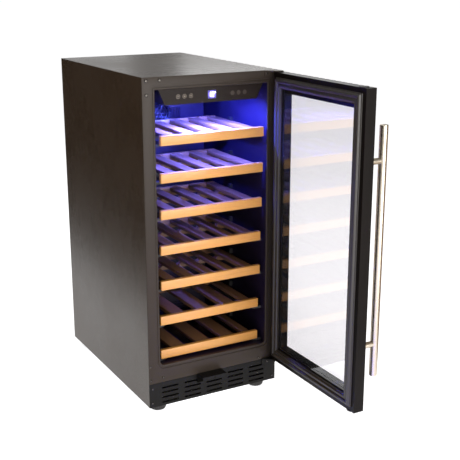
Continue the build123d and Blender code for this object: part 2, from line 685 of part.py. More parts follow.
SPACER_WIDTH = 5.0
with BuildPart() as glass_spacer:
    with BuildSketch(door_face(INNER_GLASS_V)):
        with Locations(((DOOR_U0 + DOOR_U1) / 2, DOOR_MIDDLE)):
            spacer_w = DOOR_WIDTH - 2 * BAR_WIDTH - 2
            spacer_h = DOOR_TOP - DOOR_BOTTOM - 2 * BAR_WIDTH - 2
            Rectangle(spacer_w, spacer_h)
            Rectangle(spacer_w - 2 * SPACER_WIDTH, spacer_h - 2 * SPACER_WIDTH, mode=Mode.SUBTRACT)
    extrude(amount=INNER_GLASS_V - DOOR_OUTER_V - OUTER_GLASS)
save(glass_spacer, "glass_spacer")

with BuildPart() as door_gasket:
    mitred_ring(GASKET_INSET, GASKET_WIDTH, DOOR_INNER_V + 3, 3)
    mitred_ring(GASKET_INSET + 4, GASKET_WIDTH - 8, DOOR_INNER_V + GASKET_HEIGHT, GASKET_HEIGHT - 2.9)
save(door_gasket, "door_gasket")

with BuildPart() as hinge_bushes:
    for z, direction in ((DOOR_TOP, -1), (DOOR_BOTTOM, 1)):
        place = Plane(origin=door_point(0, 0, z), z_dir=(0, 0, direction))
        with BuildSketch(place):
            Circle(BUSH_R - 0.02)
        extrude(amount=BUSH_DEPTH)
        with BuildSketch(place.offset(-0.5)):
            Circle(9)
        extrude(amount=0.5)
        with BuildSketch(place.offset(-0.5)):
            Circle(HINGE_PIN_R + HINGE_RUNNING)
        extrude(amount=BUSH_DEPTH + 0.5, mode=Mode.SUBTRACT)
save(hinge_bushes, "hinge_bushes")

with BuildPart() as hinge_hole_plugs:
    for z, direction in ((DOOR_TOP, -1), (DOOR_BOTTOM, 1)):
        place = Plane(origin=door_point(PLUG_U, 0, z), z_dir=(0, 0, direction))
        with BuildSketch(place):
            Circle(BUSH_R - 0.02)
        extrude(amount=10)
        with BuildSketch(place.offset(-2.5)):
            Circle(12)
        extrude(amount=2.5)
save(hinge_hole_plugs, "hinge_hole_plugs")

with BuildPart() as handle_bar:
    handle_foot = door_point(HANDLE_U, HANDLE_V, HANDLE_MIDDLE - HANDLE_LENGTH / 2)
    rod(handle_foot, (0, 0, 1), HANDLE_R, HANDLE_LENGTH)
    fillet(handle_bar.edges().filter_by(GeomType.CIRCLE), 1.2)
save(handle_bar, "handle_bar")

with BuildPart() as handle_standoffs:
    for z in STANDOFF_ZS:
        with BuildSketch(door_face(DOOR_OUTER_V)):
            with Locations((HANDLE_U, z)):
                Circle(STANDOFF_R)
                Circle(2.55, mode=Mode.SUBTRACT)
        extrude(amount=HANDLE_REACH)
    rod(handle_foot, (0, 0, 1), HANDLE_R, HANDLE_LENGTH, mode=Mode.SUBTRACT)
save(handle_standoffs, "handle_standoffs")

with BuildPart() as handle_screws:
    for z in STANDOFF_ZS:
        with BuildSketch(door_face(6)):
            with Locations((HANDLE_U, z)):
                Circle(2.5)
        extrude(amount=38)
        with BuildSketch(door_face(9.3)):
            with Locations((HANDLE_U, z)):
                Circle(4.6)
        extrude(amount=3.3)
save(handle_screws, "handle_screws")

# ---- Shelves: a beech fascia, and a frame of slats and back board, with a cross rail on the upper ones ----
UPPER_SLATS = ((-113, 28), (-57, 28), (0, 28), (57, 28), (113, 28))
LOWER_SLATS = ((-91, 38), (-16, 40), (58, 40), (115.5, 23))
LOWER_SHELVES = (6, 7)
LOWER_SLAT_DROP = 1.5
RAIL_Y = 152.0
RAIL_THICK = 16.0
SCALLOP_R = 20.0
SCALLOP_BOTTOM = 17.0

for number, (top, front_y) in enumerate(zip(SHELF_TOPS, SHELF_FRONTS), 1):
    with BuildPart() as fascia:
        block((-FASCIA[0] / 2, front_y, top - FASCIA[2]), (FASCIA[0] / 2, front_y + FASCIA[1], top))
        fillet(fascia.edges().filter_by(Axis.X).group_by(Axis.Y)[0], 1.5)
    save(fascia, f"shelf_{number}_fascia")

    lower = number in LOWER_SHELVES
    slats = LOWER_SLATS if lower else UPPER_SLATS
    slat_top = top - (LOWER_SLAT_DROP if lower else SLAT_DROP)
    slat_low = slat_top - SLAT_THICK
    frame_low = top - FRAME_BOTTOM
    board_front = front_y + SHELF_DEPTH - BOARD_THICK
    with BuildPart() as shelf_frame:
        for x, width in slats:
            block((x - width / 2, front_y + FASCIA[1], slat_low),
                  (x + width / 2, board_front - JOINT_GAP, slat_top))
        block((-FRAME_HALF_WIDTH, board_front, frame_low),
              (FRAME_HALF_WIDTH, board_front + BOARD_THICK, top))
        if not lower:
            rail_back = front_y + RAIL_Y + RAIL_THICK
            with BuildSketch(Plane(origin=(0, rail_back, 0), x_dir=(1, 0, 0), z_dir=(0, -1, 0))):
                rail_height = slat_low - JOINT_GAP - frame_low
                with Locations((0, frame_low + rail_height / 2)):
                    Rectangle(2 * FRAME_HALF_WIDTH, rail_height)
                for left, right in zip(slats, slats[1:]):
                    with Locations(((left[0] + right[0]) / 2, slat_top - SCALLOP_BOTTOM + SCALLOP_R)):
                        Circle(SCALLOP_R, mode=Mode.SUBTRACT)
            extrude(amount=RAIL_THICK)
    save(shelf_frame, f"shelf_{number}_frame")
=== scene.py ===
from math import cos, pi, radians, sin, tau

import bmesh
import bpy
from bpy.props import FloatProperty, FloatVectorProperty, IntProperty, PointerProperty
from mathutils import Matrix, Vector


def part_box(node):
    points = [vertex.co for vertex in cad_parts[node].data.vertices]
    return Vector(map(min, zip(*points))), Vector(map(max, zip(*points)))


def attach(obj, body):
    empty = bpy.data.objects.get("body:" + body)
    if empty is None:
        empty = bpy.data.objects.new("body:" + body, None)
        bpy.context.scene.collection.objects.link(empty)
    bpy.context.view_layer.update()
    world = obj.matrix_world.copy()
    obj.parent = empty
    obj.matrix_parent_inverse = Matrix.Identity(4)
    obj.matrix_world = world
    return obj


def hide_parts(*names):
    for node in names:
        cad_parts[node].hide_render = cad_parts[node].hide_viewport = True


bl_info = {
    "name": "Wine Cooler",
    "version": (1, 0, 0),
    "blender": (4, 5, 0),
    "location": "View3D > Sidebar > Wine Cooler",
    "description": "Finishes a narrow wine cooler with a glass door and beech shelves",
    "category": "Object",
}

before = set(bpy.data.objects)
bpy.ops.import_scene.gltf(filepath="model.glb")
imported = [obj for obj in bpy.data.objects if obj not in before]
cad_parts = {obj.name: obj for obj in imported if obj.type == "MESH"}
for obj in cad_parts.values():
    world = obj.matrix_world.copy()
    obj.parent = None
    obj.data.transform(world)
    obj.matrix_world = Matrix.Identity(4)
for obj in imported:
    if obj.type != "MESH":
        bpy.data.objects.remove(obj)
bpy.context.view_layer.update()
MM = 0.001

# Places that come from the frame
FACE_LOW, FACE_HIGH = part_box("face_frame")
DOOR_LOW, DOOR_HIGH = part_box("door_frame")
DISPLAY_LOW, DISPLAY_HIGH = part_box("display_window")
HANDLE_LOW, HANDLE_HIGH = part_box("handle_bar")
SHELF_COUNT = len([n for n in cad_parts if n.startswith("shelf_") and n.endswith("_fascia")])

# Roundings of the folded sheet, the shelf ledges and the door frame
SHEET_EDGE = 0.4 * MM
LEDGE_EDGE = 0.8 * MM
DOOR_EDGE = 0.7 * MM
# Spacing of the lamps behind the light strip's cover
LAMP_PITCH = 0.020


def metres(points):
    """Points in millimetres, in metres."""
    return [tuple(value * MM for value in point) for point in points]


# ---------------------------------------------------------------- settings

class CoolerPaint(bpy.types.PropertyGroup):
    """Colours of the painted steel, the plastics and the door."""
    panel: FloatVectorProperty(name="Panel paint", description="Side, top and back panels",
                               subtype="COLOR", size=3, default=(0.042, 0.024, 0.012), min=0, max=1)
    front: FloatVectorProperty(name="Front paint", description="Face frame and brackets",
                               subtype="COLOR", size=3, default=(0.045, 0.034, 0.026), min=0, max=1)
    kick: FloatVectorProperty(name="Kick plate paint", description="Matt paint of the louvred kick plate",
                              subtype="COLOR", size=3, default=(0.007, 0.006, 0.005), min=0, max=1)
    door: FloatVectorProperty(name="Door paint", description="Frame of the door",
                              subtype="COLOR", size=3, default=(0.006, 0.004, 0.003), min=0, max=1)
    liner: FloatVectorProperty(name="Liner", description="Moulded inner liner",
                               subtype="COLOR", size=3, default=(0.010, 0.006, 0.020), min=0, max=1)
    rubber: FloatVectorProperty(name="Gasket", description="Door gasket rubber",
                                subtype="COLOR", size=3, default=(0.022, 0.017, 0.012), min=0, max=1)
    peel: FloatProperty(name="Orange peel", description="Height of the fine paint texture",
                        subtype="DISTANCE", unit="LENGTH", default=0.00012, min=0, max=0.001)


class CoolerWood(bpy.types.PropertyGroup):
    """The beech of the shelves."""
    light: FloatVectorProperty(name="Light beech", description="Early wood between the grain lines",
                               subtype="COLOR", size=3, default=(0.66, 0.31, 0.068), min=0, max=1)
    dark: FloatVectorProperty(name="Dark beech", description="Grain lines and flecks",
                              subtype="COLOR", size=3, default=(0.52, 0.21, 0.05), min=0, max=1)
    # The slat colours are the same beech made much darker: painted shade for the slats, rails and back boards
    # inside the cabinet.
    shaded_slat_light: FloatVectorProperty(name="Light slats", description="Early wood of the shaded slats and rails",
                                    subtype="COLOR", size=3, default=(0.20, 0.10, 0.045), min=0, max=1)
    shaded_slat_dark: FloatVectorProperty(name="Dark slats", description="Grain lines of the shaded slats and rails",
                                   subtype="COLOR", size=3, default=(0.13, 0.060, 0.028), min=0, max=1)
    edge: FloatProperty(name="Edge rounding", description="Radius of the sanded edges",
                        subtype="DISTANCE", unit="LENGTH", default=0.0018, min=0.0005, max=0.004)
    scallop: FloatProperty(name="Scallop depth", description="Depth of the bottle rests below the slats",
                           subtype="DISTANCE", unit="LENGTH", default=0.017, min=0.012, max=0.019)


class CoolerDoor(bpy.types.PropertyGroup):
    """Sizes of the door's printed border and its handle."""
    border_side: FloatProperty(name="Side border", description="Printed border from the door's side edges",
                               subtype="DISTANCE", unit="LENGTH", default=0.046, min=0.04, max=0.1)
    border_top: FloatProperty(name="Top border", description="Printed border from the door's top edge",
                              subtype="DISTANCE", unit="LENGTH", default=0.048, min=0.04, max=0.1)
    border_bottom: FloatProperty(name="Bottom border",
                                 description="Printed border from the door's bottom edge",
                                 subtype="DISTANCE", unit="LENGTH", default=0.047, min=0.04, max=0.1)
    # The handle colour is steel tinted warm: partly the metal's own colour, partly a painted reflection that
    # gives its highlights the tan of a warm room.
    steel: FloatVectorProperty(name="Handle steel", description="Colour of the polished stainless handle",
                               subtype="COLOR", size=3, default=(0.62, 0.54, 0.43), min=0, max=1)


class CoolerGlow(bpy.types.PropertyGroup):
    """The light inside and the lit display."""
    colour: FloatVectorProperty(name="Cabinet light", description="Colour of the light strip",
                                subtype="COLOR", size=3, default=(0.06, 0.09, 1.0), min=0, max=1)
    power: FloatProperty(name="Light power", description="Radiant power of the light strip",
                         subtype="POWER", unit="POWER", default=24.0, min=0, max=60)
    tens: IntProperty(name="Tens", description="First digit on the display", default=1, min=0, max=9)
    units: IntProperty(name="Units", description="Second digit on the display", default=2, min=0, max=9)


class CoolerStage(bpy.types.PropertyGroup):
    """Camera, floor and studio light."""
    camera: FloatVectorProperty(name="Camera", description="Where the camera stands",
                                subtype="TRANSLATION", unit="LENGTH", size=3,
                                default=(-1.0761, -2.0048, 1.1240))
    heading: FloatProperty(name="Heading", description="Turn of the view from +Y towards +X",
                           subtype="ANGLE", unit="ROTATION", default=0.511)
    tilt: FloatProperty(name="Tilt", description="How far the camera looks down",
                        subtype="ANGLE", unit="ROTATION", default=0.277)
    lens: FloatProperty(name="Lens", description="Focal length in millimetres", subtype="DISTANCE_CAMERA",
                        unit="CAMERA", default=72.4, min=20, max=200)
    sky: FloatProperty(name="Studio light", description="Strength of the even white surround",
                       subtype="FACTOR", default=0.30, min=0, max=4)


def settings(context):
    return context.scene.wine_cooler


# ---------------------------------------------------------------- node trees

class Value:
    """A socket in a node tree. Arithmetic on it adds Math nodes."""

    def __init__(self, tree, socket):
        self.tree = tree
        self.socket = socket

    def maths(self, operation, *others):
        inputs = dict(enumerate([self, *others]))
        return self.tree.node("ShaderNodeMath", {"operation": operation}, inputs)

    def __add__(self, other):
        return self.maths("ADD", other)

    def __sub__(self, other):
        return self.maths("SUBTRACT", other)

    def __mul__(self, other):
        return self.maths("MULTIPLY", other)

    def __radd__(self, other):
        return self.maths("ADD", other)

    def __rmul__(self, other):
        return self.maths("MULTIPLY", other)

    def __rsub__(self, other):
        return self.tree.constant(other).maths("SUBTRACT", self)

    def above(self, edge):
        return self.maths("GREATER_THAN", edge)

    def below(self, edge):
        return self.maths("LESS_THAN", edge)


class Tree:
    """Adds nodes to a shader or geometry node tree."""

    def __init__(self, tree):
        self.tree = tree

    def node(self, kind, options=None, inputs=None, out=0):
        """One node: its type, its settings or ramp stops, the values or links of its sockets."""
        made = self.tree.nodes.new(kind)
        for key, value in (options or {}).items():
            if key == "stops":
                ramp = made.color_ramp
                for index, (place, colour) in enumerate(value):
                    stop = ramp.elements[index] if index < 2 else ramp.elements.new(place)
                    stop.position = place
                    stop.color = (*colour, 1)
            else:
                setattr(made, key, value)
        for key, value in (inputs or {}).items():
            if isinstance(value, Value):
                self.tree.links.new(value.socket, made.inputs[key])
            else:
                made.inputs[key].default_value = value
        return Value(self, made.outputs[out])

    def constant(self, number):
        """A fixed number as a socket."""
        return self.node("ShaderNodeMath", {"operation": "ADD"}, {0: number, 1: 0.0})


class Finish(Tree):
    """A new material on Object coordinates, with one or more Principled shaders."""

    def __init__(self, name):
        self.material = bpy.data.materials.new(name)
        self.material.use_nodes = True
        super().__init__(self.material.node_tree)
        self.tree.nodes.clear()
        self.place = self.node("ShaderNodeTexCoord", out="Object")

    def at(self, stretch=(1, 1, 1)):
        return self.node("ShaderNodeMapping", {}, {"Vector": self.place, "Scale": stretch})

    def axis(self, letter):
        return self.node("ShaderNodeSeparateXYZ", {}, {"Vector": self.place}, out=letter)

    def noise(self, scale, detail=2.0, rough=0.5, stretch=(1, 1, 1), warp=0.0):
        inputs = {"Vector": self.at(stretch), "Scale": scale, "Detail": detail,
                  "Roughness": rough, "Distortion": warp}
        return self.node("ShaderNodeTexNoise", {}, inputs, out="Fac")

    def cells(self, scale):
        return self.node("ShaderNodeTexVoronoi", {}, {"Vector": self.at(), "Scale": scale}, out="Distance")

    def span(self, value, low, high, start=0.0, end=1.0):
        """Maps a value from one range to another, held at both ends."""
        inputs = {"Value": value, "From Min": low, "From Max": high, "To Min": start, "To Max": end}
        return self.node("ShaderNodeMapRange", {}, inputs)

    def ramp(self, value, *stops):
        return self.node("ShaderNodeValToRGB", {"stops": stops}, {"Fac": value}, out="Color")

    def mix(self, factor, first, second):
        first = first if isinstance(first, Value) else (*first, 1)
        second = second if isinstance(second, Value) else (*second, 1)
        return self.node("ShaderNodeMix", {"data_type": "RGBA"}, {0: factor, 6: first, 7: second}, out=2)

    def bump(self, height, distance, strength):
        inputs = {"Height": height, "Distance": distance, "Strength": strength}
        return self.node("ShaderNodeBump", {}, inputs, out="Normal")

    def shader(self, **inputs):
        """A Principled shader. An underscore in an input's name stands for a space."""
        named = {key.replace("_", " "): (*value, 1) if isinstance(value, tuple) else value
                 for key, value in inputs.items()}
        return self.node("ShaderNodeBsdfPrincipled", {}, named)

    def done(self, surface):
        output = self.tree.nodes.new("ShaderNodeOutputMaterial")
        self.tree.links.new(surface.socket, output.inputs["Surface"])
        return self.material


FINISHES = {}


def finish(name):
    """The named finish, made once."""
    if name not in FINISHES:
        FINISHES[name] = MAKERS[name](settings(bpy.context))
    return FINISHES[name]


def colour_of(value):
    return tuple(value)[:3]


def lighter(colour, factor):
    return tuple(min(1.0, c * factor) for c in colour)


# ---------------------------------------------------------------- finishes

def painted_steel(name, colour, rough, peel, specular=0.5):
    """Baked paint: fine orange peel and speckle, faint clouding and a little dust."""
    f = Finish(name)
    fine = f.noise(900, 2, 0.6)
    speckle = f.noise(400, 2, 0.6)
    broad = f.noise(5, 4, 0.55)
    specks = f.span(f.noise(2600, 1, 0.5), 0.62, 0.78)
    base = f.mix(f.span(broad, 0.3, 0.7), lighter(colour, 0.88), lighter(colour, 1.12))
    base = f.mix(f.span(speckle, 0.3, 0.7, 0.0, 0.5), base, lighter(colour, 0.75))
    base = f.mix(specks * 0.2, base, lighter(colour, 1.9))
    roughness = f.span(broad, 0.3, 0.7, rough - 0.04, rough + 0.04) + f.span(fine, 0.3, 0.7, -0.03, 0.03)
    normal = f.bump(fine, peel, 0.6)
    return f.done(f.shader(Base_Color=base, Roughness=roughness, Normal=normal, Specular_IOR_Level=specular))


def make_panel_paint(s):
    return painted_steel("panel_paint", colour_of(s.paint.panel), 0.28, s.paint.peel, 0.3)


def make_front_paint(s):
    return painted_steel("front_paint", colour_of(s.paint.front), 0.32, s.paint.peel, 0.1)


def make_kick_paint(s):
    return painted_steel("kick_paint", colour_of(s.paint.kick), 0.55, s.paint.peel, 0.15)


def make_door_paint(s):
    return painted_steel("door_paint", colour_of(s.paint.door), 0.35, s.paint.peel * 0.5, 0.1)


def plastic(name, colour, rough, grain):
    """Moulded plastic: fine spark-eroded grain and soft flow clouding."""
    f = Finish(name)
    pebble = f.cells(1500)
    flow = f.noise(14, 3, 0.6)
    base = f.mix(f.span(flow, 0.3, 0.7), lighter(colour, 0.8), lighter(colour, 1.25))
    roughness = f.span(flow, 0.3, 0.7, rough - 0.05, rough + 0.06)
    normal = f.bump(pebble, grain, 0.5)
    return f.done(f.shader(Base_Color=base, Roughness=roughness, Normal=normal))


def make_liner(s):
    return plastic("liner_plastic", colour_of(s.paint.liner), 0.34, 0.00005)


def make_black_plastic(s):
    return plastic("black_plastic", (0.017, 0.016, 0.015), 0.45, 0.00008)


def make_foot_plastic(s):
    return plastic("foot_plastic", (0.014, 0.012, 0.011), 0.6, 0.00012)


def make_lens(s):
    """The frosted cover of the light strip, with the lamps showing as brighter spots."""
    f = Finish("light_lens")
    x = f.axis("X")
    lamp = (x * (tau / LAMP_PITCH)).maths("COSINE") * 0.5 + 0.5
    glow = f.mix(f.span(lamp, 0.3, 0.9), (0.16, 0.08, 1.0), (0.5, 0.4, 1.0))
    return f.done(f.shader(Base_Color=(0.6, 0.55, 0.9), Roughness=f.span(f.noise(300), 0.3, 0.7, 0.35, 0.55),
                           Emission_Color=glow, Emission_Strength=5.0))


def make_digit(s):
    """Lit display strokes, their glow faintly mottled."""
    f = Finish("digit_glow")
    glow = f.mix(f.span(f.noise(700, 2), 0.35, 0.65), (0.55, 0.6, 1.0), (0.8, 0.85, 1.0))
    return f.done(f.shader(Base_Color=(0.8, 0.85, 1.0), Roughness=0.4,
                           Emission_Color=glow, Emission_Strength=9.0))


def make_display(s):
    """The display's smoked window, lit blue from behind and darker towards its edges."""
    f = Finish("display_window")
    z = f.axis("Z") - (DISPLAY_LOW.z + DISPLAY_HIGH.z) / 2
    x = f.axis("X")
    away = (x * x * 1.2 + z * z * 1.6).maths("SQRT")
    halo = f.span(away, 0.004, 0.013, 1.0, 0.12)
    glow = f.mix(halo * f.span(f.noise(400), 0.2, 0.8, 0.8, 1.0), (0.01, 0.01, 0.06), (0.30, 0.24, 1.0))
    return f.done(f.shader(Base_Color=(0.01, 0.01, 0.02), Roughness=0.12, Emission_Color=glow,
                           Emission_Strength=3.2, Coat_Weight=0.5))


def make_panel_glass(s):
    """Dark tinted control glass with faint finger smears."""
    f = Finish("panel_glass")
    smear = f.noise(22, 5, 0.6, (1, 1, 2.5), 0.6)
    base = f.mix(f.span(smear, 0.3, 0.75), (0.016, 0.011, 0.009), (0.021, 0.015, 0.012))
    roughness = f.span(smear, 0.35, 0.75, 0.36, 0.46)
    return f.done(f.shader(Base_Color=base, Roughness=roughness, Specular_IOR_Level=0.08))


def make_print(s):
    """Pale screen print of the touch pads."""
    f = Finish("pad_print")
    wear = f.noise(1800, 3, 0.6)
    base = f.mix(f.span(wear, 0.35, 0.7), (0.20, 0.15, 0.11), (0.34, 0.27, 0.20))
    return f.done(f.shader(Base_Color=base, Roughness=f.span(wear, 0.3, 0.7, 0.35, 0.5)))


def make_pad(s):
    """Slightly paler, smoother glass of the touch pads."""
    f = Finish("pad_glass")
    smear = f.noise(60, 4, 0.6)
    base = f.mix(f.span(smear, 0.3, 0.75), (0.040, 0.029, 0.022), (0.060, 0.045, 0.034))
    return f.done(f.shader(Base_Color=base, Roughness=f.span(smear, 0.3, 0.7, 0.34, 0.44),
                           Specular_IOR_Level=0.2))


def beech(name, along, light, dark):
    """Lacquered beech: long grain, short ray flecks and slow tone changes between boards."""
    f = Finish(name)
    stretch = {"X": (1, 14, 14), "Y": (14, 1, 14)}[along]
    fine = {"X": (6, 160, 160), "Y": (160, 6, 160)}[along]
    fleck = {"X": (30, 170, 170), "Y": (170, 30, 170)}[along]
    rings = f.noise(6, 5, 0.6, stretch, 1.2)
    fibre = f.noise(6, 3, 0.7, fine)
    rays = f.span(f.noise(6, 1, 0.5, fleck), 0.60, 0.70)
    tone = f.noise(2.3, 1, 0.4)
    base = f.ramp(rings, (0.25, lighter(dark, 1.15)), (0.42, light), (0.55, lighter(light, 1.08)),
                  (0.66, lighter(dark, 1.3)), (0.8, light))
    base = f.mix(f.span(fibre, 0.35, 0.75, 0.0, 0.30), base, dark)
    base = f.mix(rays * 0.35, base, lighter(dark, 0.8))
    base = f.mix(f.span(tone, 0.3, 0.7, 0.0, 0.35), base, lighter(light, 1.12))
    roughness = f.span(fibre, 0.3, 0.7, 0.38, 0.52)
    normal = f.bump(fibre + rings * 0.6, 0.00012, 0.5)
    return f.done(f.shader(Base_Color=base, Roughness=roughness, Normal=normal, Coat_Weight=0.15))


def make_beech_across(s):
    return beech("beech_across", "X", colour_of(s.wood.light), colour_of(s.wood.dark))


# The rails, back boards and slats take the darkened slat colours, as painted shade.
def make_beech_rail(s):
    return beech("shaded_beech_rail", "X", colour_of(s.wood.shaded_slat_light), colour_of(s.wood.shaded_slat_dark))


def make_beech_deep(s):
    return beech("shaded_beech_deep", "Y", colour_of(s.wood.shaded_slat_light), colour_of(s.wood.shaded_slat_dark))


def make_gasket(s):
    """Soft magnetic gasket: matt with a faint sheen, dust and tiny draw lines."""
    f = Finish("gasket_rubber")
    dust = f.noise(60, 4, 0.7)
    lines = f.noise(8, 2, 0.5, (220, 8, 8))
    tone = colour_of(s.paint.rubber)
    base = f.mix(f.span(dust, 0.35, 0.75), tone, lighter(tone, 1.5))
    return f.done(f.shader(Base_Color=base, Roughness=f.span(dust, 0.3, 0.7, 0.36, 0.5),
                           Normal=f.bump(lines + dust * 0.5, 0.00012, 0.4)))


def make_mount_rubber(s):
    f = Finish("mount_rubber")
    dust = f.noise(300, 4, 0.7)
    base = f.mix(f.span(dust, 0.35, 0.75), (0.012, 0.012, 0.012), (0.035, 0.034, 0.032))
    return f.done(f.shader(Base_Color=base, Roughness=f.span(dust, 0.3, 0.7, 0.65, 0.85),
                           Normal=f.bump(dust, 0.0002, 0.5)))


def make_pane(s):
    """A door pane: clear in the middle, with a printed black border."""
    f = Finish("door_pane")
    y, z = f.axis("Y"), f.axis("Z")
    side, top, bottom = s.door.border_side, s.door.border_top, s.door.border_bottom
    inside = (y.above(DOOR_LOW.y + side) * y.below(DOOR_HIGH.y - side)
              * z.above(DOOR_LOW.z + bottom) * z.below(DOOR_HIGH.z - top))
    smear = f.noise(9, 4, 0.6)
    clear = f.shader(Base_Color=(0.93, 0.92, 0.935), Roughness=0.0, IOR=1.45, Transmission_Weight=1.0)
    print_tone = f.mix(f.span(smear, 0.3, 0.7), (0.006, 0.005, 0.004), (0.012, 0.010, 0.008))
    printed = f.shader(Base_Color=print_tone, Roughness=f.span(smear, 0.3, 0.7, 0.06, 0.12), Coat_Weight=0.5)
    return f.done(f.node("ShaderNodeMixShader", {}, {0: inside, 1: printed, 2: clear}))


def metal(name, colour, rough, brush, stretch):
    """Bare metal: fine directional brushing and slow tarnish."""
    f = Finish(name)
    lines = f.noise(10, 3, 0.7, stretch)
    cloud = f.noise(18, 3, 0.6)
    base = f.mix(f.span(cloud, 0.3, 0.7), lighter(colour, 0.92), lighter(colour, 1.05))
    roughness = f.span(lines, 0.3, 0.7, rough - 0.05, rough + 0.08)
    normal = f.bump(lines, brush, 0.5)
    return f.done(f.shader(Base_Color=base, Metallic=1.0, Roughness=roughness, Normal=normal))


# The warm tint of this steel is partly a painted reflection of a warm room.
def make_handle_steel(s):
    return metal("handle_steel", colour_of(s.door.steel), 0.30, 0.000002, (8, 8, 40))


def make_zinc(s):
    """Galvanised sheet with crystal spangle."""
    f = Finish("zinc_sheet")
    spangle = f.cells(90)
    crystal = f.noise(400, 2, 0.5)
    base = f.mix(f.span(spangle, 0.1, 0.7), (0.46, 0.47, 0.48), (0.62, 0.63, 0.64))
    roughness = f.span(spangle, 0.1, 0.7, 0.3, 0.5) + crystal * 0.05
    normal = f.bump(crystal, 0.00004, 0.4)
    return f.done(f.shader(Base_Color=base, Metallic=1.0, Roughness=roughness, Normal=normal))


def make_spacer(s):
    return metal("spacer_metal", (0.02, 0.02, 0.02), 0.5, 0.00003, (8, 8, 120))


def make_coil(s):
    return metal("coil_aluminium", (0.68, 0.69, 0.70), 0.34, 0.00005, (60, 8, 8))


def make_screw(s):
    """Blackened glossy screw heads with a little wear."""
    f = Finish("screw_black")
    wear = f.span(f.noise(1200, 3, 0.6), 0.5, 0.7)
    base = f.mix(wear, (0.05, 0.045, 0.04), (0.16, 0.14, 0.12))
    return f.done(f.shader(Base_Color=base, Metallic=0.9, Roughness=f.span(wear, 0.0, 1.0, 0.24, 0.16)))


def make_compressor(s):
    return painted_steel("compressor_paint", (0.010, 0.010, 0.011), 0.24, 0.0002)


def make_foam(s):
    """Pale foamed insulation with open cells."""
    f = Finish("foam")
    cell = f.cells(700)
    base = f.mix(f.span(f.noise(12, 4), 0.3, 0.7), (0.66, 0.56, 0.30), (0.80, 0.72, 0.46))
    return f.done(f.shader(Base_Color=base, Roughness=f.span(cell, 0.0, 0.6, 0.8, 0.95),
                           Normal=f.bump(cell, 0.0008, 0.6)))


def make_board(s):
    """Circuit board lacquer with copper tracks showing through."""
    f = Finish("circuit_board")
    track = (f.axis("X") * 700.0).maths("SINE").above(0.55) * f.span(f.noise(60), 0.42, 0.5)
    base = f.mix(track, (0.010, 0.085, 0.035), (0.05, 0.20, 0.08))
    return f.done(f.shader(Base_Color=base, Roughness=f.span(f.noise(90), 0.3, 0.7, 0.25, 0.4),
                           Coat_Weight=0.3))


MAKERS = {
    "panel_paint": make_panel_paint, "front_paint": make_front_paint, "door_paint": make_door_paint,
    "liner_plastic": make_liner, "black_plastic": make_black_plastic, "foot_plastic": make_foot_plastic,
    "light_lens": make_lens, "digit_glow": make_digit, "display_window": make_display,
    "panel_glass": make_panel_glass, "pad_print": make_print, "pad_glass": make_pad,
    "beech_across": make_beech_across, "shaded_beech_deep": make_beech_deep,
    "shaded_beech_rail": make_beech_rail, "kick_paint": make_kick_paint, "gasket_rubber": make_gasket,
    "mount_rubber": make_mount_rubber, "door_pane": make_pane, "handle_steel": make_handle_steel,
    "zinc_sheet": make_zinc, "spacer_metal": make_spacer, "coil_aluminium": make_coil,
    "screw_black": make_screw, "compressor_paint": make_compressor, "foam": make_foam,
    "circuit_board": make_board,
}


# ---------------------------------------------------------------- mesh work

def add_box(bm, low, high, rounding=0.0, segments=2):
    """A box between two corners with rounded edges, added to a bmesh."""
    part = bmesh.new()
    low, high = Vector(low), Vector(high)
    bmesh.ops.create_cube(part, size=1.0)
    bmesh.ops.scale(part, vec=high - low, verts=part.verts)
    bmesh.ops.translate(part, vec=(low + high) / 2, verts=part.verts)
    if rounding:
        bmesh.ops.bevel(part, geom=part.edges[:], offset=rounding, segments=segments,
                        affect="EDGES", profile=0.5)
    join(bm, part)


def join(bm, part):
    """Adds one bmesh to another and frees it."""
    mesh = bpy.data.meshes.new("part")
    part.to_mesh(mesh)
    part.free()
    bm.from_mesh(mesh)
    bpy.data.meshes.remove(mesh)


def add_loops(bm, loops, close=False, cap=False):
    """A skin through loops of equal length. close joins the last loop to the first; cap fills both ends."""
    part = bmesh.new()
    rings = [[part.verts.new(p) for p in loop] for loop in loops]
    pairs = list(zip(rings, rings[1:] + rings[:1])) if close else list(zip(rings, rings[1:]))
    for first, second in pairs:
        count = len(first)
        for i in range(count):
            part.faces.new((first[i], first[(i + 1) % count], second[(i + 1) % count], second[i]))
    if cap:
        part.faces.new(rings[0])
        part.faces.new(rings[-1])
    bmesh.ops.recalc_face_normals(part, faces=part.faces[:])
    join(bm, part)


def add_prism(bm, outline, place, thickness, direction):
    """A flat outline, given by a function that places it, pushed along a direction."""
    part = bmesh.new()
    push = Vector(direction) * thickness
    near = [part.verts.new(place(*p)) for p in outline]
    far = [part.verts.new(Vector(place(*p)) + push) for p in outline]
    part.faces.new(near)
    part.faces.new(far[::-1])
    count = len(outline)
    for i in range(count):
        part.faces.new((near[i], far[i], far[(i + 1) % count], near[(i + 1) % count]))
    bmesh.ops.recalc_face_normals(part, faces=part.faces[:])
    join(bm, part)


def turned(axis):
    """An axis as a unit direction, and two more directions square to it."""
    axis = Vector(axis).normalized()
    side = axis.orthogonal().normalized()
    return axis, side, axis.cross(side)


def add_lathe(bm, profile, origin, axis, segments=32, flutes=0, depth=0.0):
    """Turns a profile of (radius, height) about an axis. Flutes cut shallow grooves round it."""
    axis, side, other = turned(axis)
    loops = []
    for radius, height in profile:
        loop = []
        for i in range(segments):
            angle = tau * i / segments
            r = radius - (depth * 0.5 * (1 + cos(flutes * angle)) if flutes and radius > depth * 8 else 0)
            spoke = side * cos(angle) + other * sin(angle)
            loop.append(Vector(origin) + axis * height + spoke * r)
        loops.append(loop)
    add_loops(bm, loops, cap=True)


def as_piece(name, bm, body, material, stands_for=(), sharp=35):
    """Turns a bmesh into a finished piece that rides on a body."""
    mesh = bpy.data.meshes.new(name)
    bm.to_mesh(mesh)
    bm.free()
    return mesh_piece(name, mesh, body, material, stands_for, sharp)


